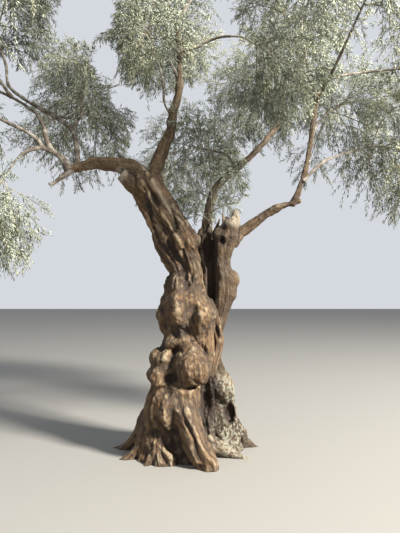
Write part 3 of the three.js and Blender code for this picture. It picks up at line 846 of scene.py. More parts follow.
FRONT_FLARES = (
    Flare(158, (-0.13, 0.1), 0.79, 0.76, 0.15),
    Flare(192, (-0.15, 0.06), 0.6, 0.64, 0.135),
    Flare(228, (-0.13, 0.06), 0.52, 0.64, 0.12),
    Flare(258, (-0.15, 0.04), 0.42, 0.42, 0.1),
    Flare(318, (-0.07, 0.07), 0.46, 0.56, 0.11),
    Flare(350, (0.06, 0.06), 0.69, 0.2, 0.092),
    Flare(136, (-0.14, 0.12), 0.6, 0.66, 0.125),
)

REAR_FLARES = (
    Flare(12, (0.31, 0.33), 0.48, 0.4, 0.115),
    Flare(66, (0.3, 0.32), 0.42, 0.62, 0.125),
    Flare(108, (0.08, 0.3), 0.48, 0.56, 0.13),
)

# Ridges and grooves across the front of the leaning stem, from its upper part down
FRONT_STROKES = (
    Stroke(
        ((-0.335, 2.58), (-0.31, 2.36), (-0.2, 2.185), (-0.155, 2.03), (-0.07, 1.865), (-0.025, 1.695)),
        0.031,
        -0.042,
    ),
    Stroke(((-0.53, 2.475), (-0.42, 2.185), (-0.285, 1.985), (-0.18, 1.865)), 0.025, -0.022),
    Stroke(((-0.445, 2.64), (-0.385, 2.36), (-0.31, 2.135), (-0.195, 1.985), (-0.11, 1.81)), 0.025, -0.032),
    Stroke(((-0.065, 2.03), (-0.045, 1.915), (0.025, 1.755), (0.035, 1.645)), 0.025, -0.028),
    Stroke(((-0.18, 2.435), (-0.13, 2.28), (-0.155, 2.215)), 0.025, -0.035),
    Stroke(((-0.345, 2.68), (-0.245, 2.495), (-0.145, 2.36), (-0.045, 2.25)), 0.042, 0.015),
    Stroke(((0.05, 2.08), (0.075, 1.915), (0.11, 1.755), (0.12, 1.645)), 0.031, 0.019),
    Stroke(((0.015, 1.55), (0.09, 1.495), (0.155, 1.43), (0.205, 1.36)), 0.045, 0.021),
    Stroke(((0.185, 1.295), (0.175, 1.24), (0.17, 1.115), (0.18, 0.915), (0.14, 0.775)), 0.028, 0.017),
    Stroke(((0.245, 1.44), (0.295, 1.165), (0.26, 1.06), (0.25, 1.02)), 0.028, 0.017),
    Stroke(((-0.28, 1.43), (-0.235, 1.285), (-0.2, 1.19), (-0.225, 1.04), (-0.24, 0.995)), 0.036, 0.023),
    Stroke(((-0.035, 1.55), (-0.13, 1.4), (-0.175, 1.285)), 0.042, 0.019),
    Stroke(((-0.24, 1.3), (-0.15, 1.28), (-0.06, 1.26), (-0.02, 1.24)), 0.055, -0.055),
    Stroke(((0.1, 1.4), (0.1, 1.3), (0.08, 1.2), (0.05, 1.12)), 0.05, 0.04),
    Stroke(((-0.1, 1.085), (-0.165, 1.04), (-0.2, 0.935), (-0.155, 0.85), (-0.165, 0.79)), 0.032, -0.028),
    Stroke(((-0.22, 0.775), (-0.12, 0.775), (-0.02, 0.745)), 0.034, -0.02),
    Stroke(
        ((-0.3, 0.75), (-0.23, 0.76), (-0.15, 0.7), (-0.05, 0.66), (0.04, 0.67), (0.12, 0.76)),
        0.034,
        0.036,
    ),
    Stroke(((-0.3, 0.3), (-0.2, 0.2), (-0.12, 0.18)), 0.06, -0.06),
    Stroke(((-0.2, 0.655), (-0.165, 0.57), (-0.18, 0.43), (-0.115, 0.27)), 0.039, -0.024),
    Stroke(((-0.025, 0.4), (0.06, 0.18), (0.11, 0.05)), 0.034, -0.02),
    Stroke(((-0.135, 0.475), (-0.165, 0.375), (-0.09, 0.225)), 0.031, -0.018),
    Stroke(((0.245, 1.345), (0.28, 1.19)), 0.028, -0.042),
    Stroke(
        ((0.015, 0.655), (-0.025, 0.535), (0.005, 0.43), (0.08, 0.27), (0.155, 0.125), (0.23, 0.065)),
        0.034,
        0.028,
    ),
    Stroke(((0.035, 0.59), (0.07, 0.45), (0.14, 0.29), (0.24, 0.125)), 0.028, 0.019),
    Stroke(((-0.11, 0.505), (-0.075, 0.44), (-0.015, 0.325), (0.035, 0.195), (0.08, 0.075)), 0.031, 0.025),
    Stroke(((-0.22, 0.7), (-0.23, 0.58), (-0.22, 0.43), (-0.165, 0.27), (-0.065, 0.125)), 0.034, 0.025),
    Stroke(((-0.28, 0.68), (-0.31, 0.535), (-0.355, 0.325)), 0.036, 0.025),
)

# The wrinkles that run level across the round burl
BURL_WRINKLES = (
    Stroke(
        ((-0.19, 0.92), (-0.15, 1.07), (-0.04, 1.14), (0.07, 1.13), (0.15, 1.06), (0.185, 0.95)),
        0.024,
        -0.022,
    ),
    Stroke(((-0.055, 1.06), (-0.07, 0.95), (-0.04, 0.83)), 0.03, -0.014),
    Stroke(((0.02, 1.05), (0.09, 1.055), (0.16, 1.03)), 0.012, -0.007),
    Stroke(((0.0, 0.97), (0.08, 0.985), (0.17, 0.96)), 0.012, -0.007),
    Stroke(((0.03, 0.885), (0.1, 0.89), (0.17, 0.85)), 0.012, -0.006),
)

# Where the wood is bare and bleached, and where deep shade is painted into gaps and hollows that the light
# doesn't reach
BARE_WOOD = (
    Lump((-0.68, -0.08, 2.79), (0.08, 0.1, 0.09)),
    Lump((-0.44, -0.04, 2.87), (0.05, 0.08, 0.05)),
    Lump((0.42, 0.08, 2.38), (0.12, 0.14, 0.13)),
)
BARE_STRIP = Stroke(((-0.36, 2.72), (-0.3, 2.6), (-0.24, 2.5), (-0.19, 2.42)), 0.022, 0.0)
DEEP_SHADE_PLACES = (
    Lump((0.19, 0.06, 2.02), (0.1, 0.2, 0.3)),
    Lump((0.2, 0.1, 1.62), (0.07, 0.2, 0.2)),
    Lump((0.175, 0.12, 0.54), (0.12, 0.3, 0.36)),
    Lump((-0.055, -0.25, 1.262), (0.09, 0.1, 0.08)),
    Lump((0.4, 0.2, 0.4), (0.08, 0.16, 0.12)),
    Lump((0.322, 0.0, 2.15), (0.036, 0.1, 0.05)),
)
LICHEN = (
    Lump((0.55, -0.03, 0.08), (0.3, 0.25, 0.14)),
    Lump((0.33, 0.28, 0.35), (0.34, 0.4, 0.5)),
)


def inside(lumps: Sequence[Lump], points: Array, grown: float = 1.0) -> Array:
    """How far each point lies inside any of some lumps, grown so many times: 1 well inside and 0 outside.

    Args:
        lumps: The lumps.
        points: The places.
        grown: How many times their size the lumps count as.

    Returns:
        A weight for each point.
    """
    most = np.zeros(len(points))
    for lump in lumps:
        away = length_of((points - np.array(lump.at)) / np.array(lump.half))
        most = np.maximum(most, 1 - smooth(*LUMP_EDGE, away / grown))
    return most


@dataclass(frozen=True)
class Limb:
    """One tapering limb: where it starts, the points that it passes and the radii at its root and tip."""

    COLLAR = 0.35  # how much it swells where it leaves its parent
    COLLAR_REACH = 2.4  # and how far from there, in radii
    KNOTS = 0.32
    KNOT_SCALE, KNOT_SEED = (9, 9, 9), 90  # the seed is so many times the radius

    name: str
    start: Point | tuple[str, float]  # a point, or the limb that carries it and the share of its length
    course: tuple[Point, ...]
    radii: Pair
    taper: float = 1.0  # above 1 it thins sooner

    def line(self, made: Lines) -> Course:
        """Its course, from a point on the limb that carries it or in the trunk.

        Args:
            made: The courses of the limbs before it, by name.

        Returns:
            Its course.
        """
        start = self.start
        if isinstance(start[0], str):
            start = tuple(made[start[0]].at(np.array([start[1]]))[0])
        last = len(self.course)
        root, tip = self.radii
        radii = [lerp(tip, root, (1 - i / last) ** self.taper) for i in range(last + 1)]
        return Course([(*point, radius) for point, radius in zip((start, *self.course), radii)])

    def surface(self, centre: Array, outward: Array, radius: Array) -> Array:
        """The radius with its knots and the collar at its root.

        Args:
            centre: The points on the course.
            outward: The directions outwards from them.
            radius: The plain radii there.

        Returns:
            The radii with them.
        """
        away = length_of(centre - centre[0])
        collar = self.COLLAR * np.exp(-((away / (self.COLLAR_REACH * self.radii[0])) ** 2))
        places = centre + outward * radius[:, None]
        knots = noise_at(places, self.KNOT_SCALE, 3, self.radii[0] * self.KNOT_SEED)
        return radius * (1 + collar + self.KNOTS * knots)


LIMBS = (
    Limb("left_bough", (-0.435, 0.0, 2.735), radii=(0.094, 0.04), course=(
        (-0.605, -0.02, 2.88), (-0.781, -0.05, 2.903), (-0.93, -0.07, 2.913), (-1.055, -0.1, 2.874),
        (-1.195, -0.12, 2.838),
    )),
    Limb("left_snag", ("left_bough", 0.96), radii=(0.027, 0.014), course=(
        (-1.31, -0.19, 2.7), (-1.364, -0.22, 2.672),
    )),
    Limb("left_lower_limb", ("left_bough", 1.0), radii=(0.038, 0.014), course=(
        (-1.271, -0.14, 2.95), (-1.348, -0.15, 3.012), (-1.441, -0.17, 3.049), (-1.56, -0.21, 3.17),
        (-1.96, -0.29, 3.36),
    )),
    Limb("left_arching_limb", ("left_lower_limb", 0.58), radii=(0.018, 0.009), course=(
        (-1.472, -0.2, 3.033), (-1.559, -0.28, 2.983), (-1.625, -0.34, 2.91), (-1.705, -0.45, 2.72),
    )),
    Limb("left_upper_limb", ("left_lower_limb", 0.46), radii=(0.026, 0.013), course=(
        (-1.424, -0.13, 3.161), (-1.453, -0.1, 3.251), (-1.516, -0.06, 3.379), (-1.6, -0.02, 3.47),
        (-1.87, 0.08, 3.65), (-2.3, 0.16, 3.85),
    )),
    Limb("left_inner_limb", ("left_bough", 0.9), radii=(0.028, 0.012), course=(
        (-1.144, 0.0, 3.065), (-1.221, 0.06, 3.298), (-1.426, 0.13, 3.46), (-1.72, 0.22, 3.644),
        (-1.945, 0.3, 3.835), (-2.009, 0.38, 4.092), (-2.1, 0.44, 4.33),
    )),
    Limb("left_middle_limb", ("left_inner_limb", 0.27), radii=(0.015, 0.009), course=(
        (-1.13, 0.09, 3.44), (-1.12, 0.12, 3.54),
    )),
    Limb("left_front_limb", ("left_upper_limb", 0.82), radii=(0.018, 0.011), course=(
        (-1.96, -0.42, 3.88), (-1.9, -1.05, 4.05),
    )),
    Limb("left_back_limb", ("left_inner_limb", 0.42), radii=(0.021, 0.012), course=(
        (-1.38, 0.64, 3.6), (-1.42, 1.2, 3.85),
    )),
    Limb("centre_bough", (-0.425, 0.0, 2.69), radii=(0.078, 0.024), taper=1.5, course=(
        (-0.34, 0.0, 2.896), (-0.272, 0.01, 3.078), (-0.205, 0.02, 3.255), (-0.181, 0.03, 3.434),
        (-0.135, 0.04, 3.617), (-0.105, 0.05, 3.805), (-0.106, 0.05, 3.983), (-0.112, 0.06, 4.134),
        (-0.146, 0.06, 4.38),
    )),
    Limb("centre_right_limb", ("centre_bough", 1.0), radii=(0.025, 0.013), course=(
        (-0.046, 0.09, 4.593), (0.04, 0.11, 4.74), (0.23, 0.15, 5.1),
    )),
    Limb("centre_left_limb", ("centre_bough", 0.975), radii=(0.019, 0.011), course=(
        (-0.208, 0.03, 4.536), (-0.27, 0.02, 4.72), (-0.4, 0.0, 5.08),
    )),
    Limb("centre_front_limb", ("centre_bough", 0.86), radii=(0.017, 0.01), course=(
        (-0.227, 0.0, 4.191), (-0.318, -0.06, 4.315), (-0.363, -0.16, 4.474), (-0.38, -0.85, 4.85),
    )),
    Limb("centre_back_limb", ("centre_bough", 0.66), radii=(0.024, 0.013), course=(
        (-0.2, 0.45, 4.1), (-0.33, 1.05, 4.6),
    )),
    Limb("centre_low_limb", ("centre_bough", 0.43), radii=(0.013, 0.008), course=(
        (-0.259, -0.04, 3.534), (-0.268, -0.08, 3.7), (-0.3, -0.11, 3.85),
    )),
    Limb("centre_arching_limb", ("centre_bough", 0.87), radii=(0.017, 0.01), course=(
        (0.09, 0.0, 4.134), (0.136, -0.02, 4.161), (0.312, -0.08, 4.196), (0.499, -0.14, 4.17),
        (0.64, -0.17, 4.09),
    )),
    Limb("right_bough", (0.43, 0.095, 2.15), radii=(0.06, 0.026), course=(
        (0.529, 0.1, 2.243), (0.651, 0.09, 2.334), (0.777, 0.08, 2.429), (0.924, 0.06, 2.5),
        (1.02, 0.05, 2.525), (1.125, 0.03, 2.547),
    )),
    Limb("right_riser", ("right_bough", 0.87), radii=(0.034, 0.02), course=(
        (1.105, 0.04, 2.658), (1.155, 0.03, 2.795), (1.191, 0.02, 2.94), (1.239, 0.0, 3.245),
        (1.278, 0.0, 3.532), (1.288, 0.0, 3.64),
    )),
    Limb("right_outer_limb", ("right_riser", 1.0), radii=(0.018, 0.011), course=(
        (1.366, 0.0, 3.7), (1.4, 0.0, 3.765), (1.47, 0.01, 3.815), (1.7, 0.04, 3.87),
        (2.08, 0.09, 3.93),
    )),
    Limb("right_top_limb", ("right_riser", 0.93), radii=(0.017, 0.01), course=(
        (1.23, 0.08, 3.85), (1.18, 0.18, 4.35),
    )),
    Limb("right_side_limb", ("right_riser", 0.28), radii=(0.018, 0.01), course=(
        (1.274, 0.06, 2.884), (1.354, 0.1, 2.955), (1.436, 0.14, 3.006), (1.64, 0.23, 3.09),
        (1.88, 0.33, 3.18),
    )),
    Limb("right_front_limb", ("right_riser", 0.85), radii=(0.018, 0.011), course=(
        (1.38, -0.35, 3.76), (1.5, -0.88, 4.08),
    )),
    Limb("right_back_limb", ("right_riser", 0.5), radii=(0.02, 0.012), course=(
        (1.36, 0.48, 3.42), (1.65, 1.13, 3.8),
    )),
    Limb("back_bough", (0.13, 0.24, 2.12), radii=(0.05, 0.03), course=(
        (0.232, 0.42, 2.66), (0.345, 0.48, 2.845), (0.492, 0.56, 2.985), (0.69, 0.66, 3.18),
        (0.895, 0.76, 3.425), (1.085, 0.86, 3.69),
    )),
    Limb("back_right_limb", ("back_bough", 1.0), radii=(0.031, 0.014), course=(
        (1.1, 1.08, 3.96), (1.0, 1.43, 4.2),
    )),
    Limb("back_left_limb", ("back_bough", 0.5), radii=(0.028, 0.013), course=(
        (0.42, 0.95, 3.25), (0.15, 1.45, 3.45),
    )),
)


def limb_lines() -> Lines:
    """Every limb's course by its name.

    Returns:
        The courses of all limbs, each made before those that it carries.
    """
    made: Lines = {}
    for limb in LIMBS:
        made[limb.name] = limb.line(made)
    return made


# Finishes


class Reckoned:
    """A number from a socket. An expression on it adds its Math nodes."""

    def __init__(self, paint: "Paint", socket: NodeSocket) -> None:
        """Wraps an output socket."""
        self.paint = paint
        self.socket = socket

    def _math(self, operation: str, first: object, second: object) -> "Reckoned":
        """Adds one Math node."""
        return self.paint.node("Math", {"operation": operation}, {0: first, 1: second}).number()

    def __add__(self, other: object) -> "Reckoned":
        """This plus another."""
        return self._math("ADD", self, other)

    def __sub__(self, other: object) -> "Reckoned":
        """This less another."""
        return self._math("SUBTRACT", self, other)

    def __rsub__(self, other: object) -> "Reckoned":
        """Another less this."""
        return self._math("SUBTRACT", other, self)

    def __mul__(self, other: object) -> "Reckoned":
        """This times another."""
        return self._math("MULTIPLY", self, other)

    __radd__ = __add__
    __rmul__ = __mul__

    def rise(self, low: float, high: float) -> "Reckoned":
        """0 below low, 1 above high, and an even rise between."""
        settings = {"interpolation_type": "SMOOTHSTEP"}
        return self.paint.node("MapRange", settings, {0: self, 1: low, 2: high}).number()


@dataclass(frozen=True)
class Made:
    """A node that was just added, and what comes out of it."""

    paint: "Paint"
    outputs: bpy.types.NodeOutputs

    def number(self, name: str | int = 0) -> Reckoned:
        """One of its outputs, to reckon with."""
        return Reckoned(self.paint, self.outputs[name])


class Paint:
    """A material's nodes. Every one of them comes from one method."""

    MIX_FACTOR, MIX_A, MIX_B, MIX_RESULT = 0, 6, 7, 2

    def __init__(self, name: str) -> None:
        """Starts with the plain shader.

        Args:
            name: The material's name.
        """
        self.material = bpy.data.materials.new(name)
        self.material.use_nodes = True
        self.tree = self.material.node_tree
        self.shader = self.tree.nodes["Principled BSDF"]

    def feed(self, socket: NodeSocket, value: object) -> None:
        """Links a value to a socket, or sets it there.

        Args:
            socket: What takes the value.
            value: A number, a colour or a link.
        """
        if isinstance(value, Reckoned):
            value = value.socket
        if isinstance(value, NodeSocket):
            self.tree.links.new(value, socket)
        else:
            socket.default_value = value

    def node(self, kind: str, settings: dict[str, object], inputs: dict[str | int, object]) -> Made:
        """Adds a node.

        Args:
            kind: The node's type, without the word that all of them start with.
            settings: What is set on the node before anything is linked.
            inputs: The values or links of its sockets, by name or number.

        Returns:
            The node with its outputs.
        """
        node = self.tree.nodes.new("ShaderNode" + kind)
        for key, value in settings.items():
            setattr(node, key, value)
        for key, value in inputs.items():
            self.feed(node.inputs[key], value)
        return Made(self, node.outputs)

    def attribute(self, name: str) -> Made:
        """What a mesh keeps for each of its points."""
        return self.node("Attribute", {"attribute_name": name}, {})

    def noise(self, place: NodeSocket, scale: float, detail: float) -> Reckoned:
        """Cloudy noise."""
        return self.node("TexNoise", {}, {"Vector": place, "Scale": scale, "Detail": detail}).number("Fac")

    def bump(self, size: dict[str, float], height: Reckoned) -> NodeSocket:
        """The surface's direction on a relief."""
        return self.node("Bump", {}, {**size, "Height": height}).outputs["Normal"]

    def mix(self, factor: object, first: object, second: object) -> NodeSocket:
        """A colour between two."""
        inputs = {self.MIX_FACTOR: factor, self.MIX_A: first, self.MIX_B: second}
        return self.node("Mix", {"data_type": "RGBA"}, inputs).outputs[self.MIX_RESULT]

    def finish(self, inputs: dict[str, object]) -> Material:
        """Sets or links the shader's sockets, and gives the material.

        Args:
            inputs: What each socket takes, by name.

        Returns:
            The material.
        """
        for key, value in inputs.items():
            self.feed(self.shader.inputs[key], value)
        return self.material


@dataclass(frozen=True)
class BarkFinish:
    """Old olive bark: ochre and grey-tan in streaks along the wood, bleached where bare, with painted shade
    in furrows, hollows and gaps and painted highlights on ridges.
    """

    KEPT = ("crevice", "crest", "hollow", "bare", "dark", "lichen", "sheltered")  # what the skin keeps
    STREAKS, FIBRES = (42, 4), (170, 2)  # the scale and detail of each noise, in waves to a metre
    CLOUDS, BLOTCHES, FLECKS, SPECKLES = (5, 4), (19, 3), (48, 4), (36, 5)
    STRETCH = (1.0, 1.0, 0.07)  # of the noise along the grain
    PALE_FROM = (2.5, 3.2)  # the heights between which the bark turns paler
    BUMP = {"Strength": 1.0, "Distance": 0.016}

    name: str
    ochre: Colour = (0.12, 0.063, 0.023, 1)
    brown: Colour = (0.03, 0.0165, 0.0075, 1)
    tan: Colour = (0.123, 0.09, 0.052, 1)
    # The colour of the painted highlight on ridges
    crest: Colour = (0.34, 0.275, 0.18, 1)
    # The colour of painted shade in crevices, hollows and deep gaps
    furrow: Colour = (0.02, 0.011, 0.006, 1)
    bare: Colour = (0.25, 0.21, 0.16, 1)
    lichen: Colour = (0.21, 0.21, 0.165, 1)

    def make(self) -> Material:
        """The material, which reads what the skin keeps for each point.

        Returns:
            The material.
        """
        paint = Paint(self.name)
        place = paint.node("TexCoord", {}, {}).outputs["Object"]
        grain = paint.attribute("grain").outputs["Vector"]
        grain = paint.node("Mapping", {}, {"Vector": grain, "Scale": self.STRETCH}).outputs["Vector"]
        kept = (paint.attribute(name).number("Fac") for name in self.KEPT)
        crevice, crest, hollow, bare, dark, lichen, sheltered = kept
        streaks, fibres = (paint.noise(grain, *noise) for noise in (self.STREAKS, self.FIBRES))
        patterns = (self.CLOUDS, self.BLOTCHES, self.FLECKS, self.SPECKLES)
        clouds, blotches, flecks, speckles = (paint.noise(place, *noise) for noise in patterns)
        height = paint.node("SeparateXYZ", {}, {"Vector": place}).number("Z")
        # Faces turned to the light take tan weathering and a painted ridge highlight; faces turned away take
        # ochre that is partly sheltered bark and partly painted shade
        lit_and_weathered = 1 - sheltered * 0.8

        colour = paint.mix(clouds.rise(0.38, 0.62), self.brown, self.ochre)
        # Each layer: how much it covers, between which levels of a noise and how thickly, and its colour
        layers = (
            (blotches.rise(0.4, 0.66) * lit_and_weathered * 0.6, self.tan),
            ((1 - streaks.rise(0.38, 0.56)) * 0.85, self.brown),
            ((1 - flecks.rise(0.36, 0.6)) * 0.3, self.brown),
            # Ochre on faces turned from the light: partly sheltered bark, partly painted shade
            (sheltered * streaks.rise(0.3, 0.5) * 0.5, self.ochre),
            # A painted highlight on ridges that face the light
            (crest * lit_and_weathered * (streaks + blotches).rise(0.7, 1.2) * 0.6, self.crest),
            (height.rise(*self.PALE_FROM) * flecks.rise(0.3, 0.6) * 0.45, self.tan),
            (lichen * (speckles + clouds * 0.5).rise(0.66, 0.84) * 0.75, self.lichen),
            (bare * fibres.rise(0.3, 0.5), self.bare),
            # Painted shade in the crevices, a little weaker on bare wood
            (crevice * (1 - bare * 0.5) * 0.9, self.furrow),
            # Painted shade in the broad hollows of the wood
            (hollow * 0.85, self.furrow),
            # Painted deep shade in the gaps and hollows
            (dark * 0.94, self.furrow),
        )
        for share, shade in layers:
            colour = paint.mix(share, colour, shade)
        relief = streaks * 0.6 + fibres * 0.4 + flecks * 0.5
        bump = paint.bump(self.BUMP, relief)
        return paint.finish({"Base Color": colour, "Roughness": 0.88 - streaks * 0.15, "Normal": bump})


@dataclass(frozen=True)
class TwigFinish:
    """Smooth bark of thin limbs and twigs, grey-brown with paler patches."""

    PATCHES, RINGS = (14, 4), (70, 3)  # the scale and detail of each noise
    BUMP = {"Strength": 0.7, "Distance": 0.006}

    name: str
    bark: Colour
    patch: Colour

    def make(self) -> Material:
        """The material.

        Returns:
            The material.
        """
        paint = Paint(self.name)
        place = paint.node("TexCoord", {}, {}).outputs["Object"]
        patches, rings = (paint.noise(place, *noise) for noise in (self.PATCHES, self.RINGS))
        colour = paint.mix(patches.rise(0.42, 0.62), self.bark, self.patch)
        colour = paint.mix(rings.rise(0.52, 0.66) * 0.5, colour, self.bark)
        bump = paint.bump(self.BUMP, patches * 0.5 + rings * 0.5)
        return paint.finish({"Base Color": colour, "Roughness": 0.75 + rings * 0.15, "Normal": bump})


@dataclass(frozen=True)
class PlainFinish:
    """One even colour, as on one side of a leaf."""

    name: str
    colour: Colour
    roughness: float

    def make(self) -> Material:
        """The material."""
        return Paint(self.name).finish({"Base Color": self.colour, "Roughness": self.roughness})


# The trunk


def dress(piece: bpy.types.Object, nodes: Iterable[str]) -> None:
    """Fixes a finished piece to the tree, in place of the solids that it stands for.

    Args:
        piece: The piece.
        nodes: The solids' names.
    """
    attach(piece, "root")
    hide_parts(*nodes)
    LOG.info("%s: %d faces", piece.name, len(piece.data.polygons))


def placed(name: str, mesh: Mesh, materials: Iterable[Material]) -> bpy.types.Object:
    """An object at the origin that holds the mesh and its materials.

    Args:
        name: The object's name.
        mesh: Its mesh.
        materials: Its finishes, in order.

    Returns:
        The object.
    """
    mesh.name = name
    mesh.materials.clear()
    for material in materials:
        mesh.materials.append(material)
    return linked(name, mesh)


ROOT_DEPTH, ROOT_THIN = 1.6, 0.3  # how much deeper a bough starts and how thin it is there, in radii


def rooted(line: Course) -> Course:
    """A bough's course, begun deeper in the trunk and thinner there, so that its end doesn't stand out.

    Args:
        line: The bough's own course.

    Returns:
        The longer course.
    """
    start, radius = line.rows[0, :3], line.rows[0, 3]
    back = start - line.direction(np.array([0.0]))[0] * radius * ROOT_DEPTH
    return Course([(*back, radius * ROOT_THIN), *line.rows])


@dataclass(frozen=True)
class TrunkHalf:
    """A stem of the trunk with its roots, its loose wood and the boughs above it, in one skin."""

    VOXEL = 0.0075
    TRIANGLES = 192_000
    STEM_SIDES, STEM_STEP = 128, 0.014
    SIDES, STEP = 32, 0.02
    TWIST = -0.8  # of the grain, in radians to a metre
    WEATHER = (0.4, -0.1, 0.8)  # where the light, and the sun and rain, come from: faces turned away take painted shade as well as sheltered bark
    BLENDING = 42  # rounds of smoothing that run the pieces of the trunk into each other
    THIN_WOOD = (2.0, 2.25)  # between these heights the smoothing fades, for what is thinner above
    THIN_SHARE = 0.1  # how much of the smoothing is left there
    BURL_REACH = 1.3  # how far past a burl the straight furrows stay away, as a share of its size
    FULL_SIZE, SIZES = 0.17, (0.5, 1.15)  # the radius with relief of full size, and the least and most
    # How deep the folds are at some heights
    FOLD_HEIGHTS = (0.0, 0.6, 0.8, 1.75, 1.95, 2.6, 3.0)
    FOLD_DEPTHS = (0.034, 0.032, 0.014, 0.014, 0.026, 0.022, 0.012)
    FOLD_SCALE, FOLD_MEAN = (5.5, 5.5, 0.55), 0.6
    WAVE, WAVE_SCALE = 0.1, (3, 3, 1.4)  # how far the folds wander off the grain
    # The scale and height of each finer kind of relief
    FURROWS = ((17, 17, 2.2), 0.013)
    LUMPS = ((5.5, 5.5, 5.5), 0.018)
    KNOBS = ((15, 15, 11), 0.008)
    GRIT = ((34, 34, 26), 0.004)
    OCTAVES, FURROW_SEED = 2, 5.0
    NEAR, MIDDLING, WIDE = 8, 40, 120  # rounds of averaging that measure how deep a point lies
    # Between which depths below its surroundings, in metres, a point comes to count as each kind: crevices
    # and hollows take painted shade, crests a painted highlight
    CREVICE_NEAR, CREVICE_MIDDLING = (0.0004, 0.003), (0.003, 0.012)
    CREST, HOLLOW = (0.002, 0.013), (0.001, 0.016)
    STRIP_BARE = 0.7  # how bare the strip is
    SHELTERED, SHELTER_ROUNDS = (-0.2, 0.5), 10  # how far a face has to look away from the light and the weather to count as shaded and sheltered
    EVENING = 3  # rounds of smoothing that even out the joined bodies' skin

    name: str
    stem: Stem
    strands: tuple[Course, ...]
    pads: tuple[Course, ...]  # swellings that the stem's own grain runs over
    boughs: tuple[str, ...]
    strokes: tuple[Stroke, ...]
    nodes: tuple[str, ...]

    def _bodies(self, lines: Lines) -> BMesh:
        """The closed bodies that the skin is drawn over.

        Args:
            lines: Every limb's course by its name.

        Returns:
            The working mesh that holds them.
        """
        work = bmesh.new()
        add_tube(work, Course(self.stem.rows), self.STEM_SIDES, self.STEM_STEP, self.stem.surface)
        for strand in self.strands + self.pads:
            add_tube(work, strand, self.SIDES, self.STEP)
        for limb in LIMBS:
            if limb.name in self.boughs:
                add_tube(work, rooted(lines[limb.name]), self.SIDES, self.STEP, limb.surface)
        return work

    def _relieve(self, skin: Skin, grain: Grain) -> None:
        """Works the ridges, the furrows and the bark's relief into the skin.

        Args:
            skin: The smooth skin.
            grain: Which way its wood runs.
        """
        normals = skin.normals()
        heights = np.zeros(len(skin.points))
        for stroke in self.strokes:
            heights += stroke.height * stroke.weight(skin.points, normals)
        skin.push(skin.averaged(heights, 1))
        points = skin.points
        place, radius = grain.read(points)
        depth = np.interp(points[:, 2], self.FOLD_HEIGHTS, self.FOLD_DEPTHS)
        wave = self.WAVE * noise_at(points, self.WAVE_SCALE, self.OCTAVES)
        folds = ridges_at(place + wave[:, None], self.FOLD_SCALE, self.OCTAVES) - self.FOLD_MEAN
        furrows = ridges_at(place, self.FURROWS[0], self.OCTAVES, self.FURROW_SEED) - RIDGE_MEAN
        furrows *= 1 - inside(self.stem.burls, points, self.BURL_REACH)
        lumps = noise_at(points, self.LUMPS[0], self.OCTAVES)
        knobs = ridges_at(points, self.KNOBS[0], self.OCTAVES) - RIDGE_MEAN
        grit = noise_at(points, self.GRIT[0], self.OCTAVES)
        kinds = (self.FURROWS, self.LUMPS, self.KNOBS, self.GRIT)
        relief = depth * folds
        for (_, height), finer in zip(kinds, (furrows, lumps, knobs, grit)):
            relief += height * finer
        size = np.clip(radius / self.FULL_SIZE, *self.SIZES)
        skin.push(size * skin.averaged(relief, 1))
        skin.keep("grain", place)

    def _mark(self, skin: Skin) -> None:
        """Keeps for each point what the bark's finish reads.

        Args:
            skin: The skin with its relief.
        """
        normals = skin.normals()
        near, middling, wide = (skin.sinking(rounds) for rounds in (self.NEAR, self.MIDDLING, self.WIDE))
        # Painted shade: points that lie below their near or middling surroundings
        crevice = np.maximum(smooth(*self.CREVICE_NEAR, near), smooth(*self.CREVICE_MIDDLING, middling))
        skin.keep("crevice", crevice)
        # A painted highlight: points that stand above their middling surroundings
        skin.keep("crest", smooth(*self.CREST, -middling))
        # Painted shade: points that lie below their wide surroundings
        skin.keep("hollow", smooth(*self.HOLLOW, wide))
        strip = BARE_STRIP.weight(skin.points, normals)
        skin.keep("bare", np.maximum(inside(BARE_WOOD, skin.points), strip * self.STRIP_BARE))
        # Painted deep shade in the given gaps and hollows, and the lichen, which is the bark's own colour
        for name, places in (("dark", DEEP_SHADE_PLACES), ("lichen", LICHEN)):
            skin.keep(name, inside(places, skin.points))
        # Faces turned from the light and weather: partly sheltered bark, partly painted shade
        away = skin.averaged(-normals @ np.array(self.WEATHER), self.SHELTER_ROUNDS)
        skin.keep("sheltered", smooth(*self.SHELTERED, away))

    def build(self, lines: Lines, bark: Material) -> None:
        """Builds and dresses the half.

        Args:
            lines: Every limb's course by its name.
            bark: Its finish.
        """
        skin = Skin(fused(self._bodies(lines), self.VOXEL, HOLLOWS))
        skin.relax(self.EVENING)
        blended = skin.averaged(skin.points, self.BLENDING)
        share = lerp(1, self.THIN_SHARE, smooth(*self.THIN_WOOD, skin.points[:, 2]))
        skin.points += (blended - skin.points) * share[:, None]
        courses = [Course(self.stem.rows), *self.strands, *(lines[name] for name in self.boughs)]
        self._relieve(skin, Grain(courses, self.TWIST))
        skin.relax(1)
        self._mark(skin)
        skin = skin.thinned(self.TRIANGLES)
        skin.cut_at_ground()
        skin.mesh.shade_smooth()
        dress(placed(self.name, skin.mesh, [bark]), self.nodes)


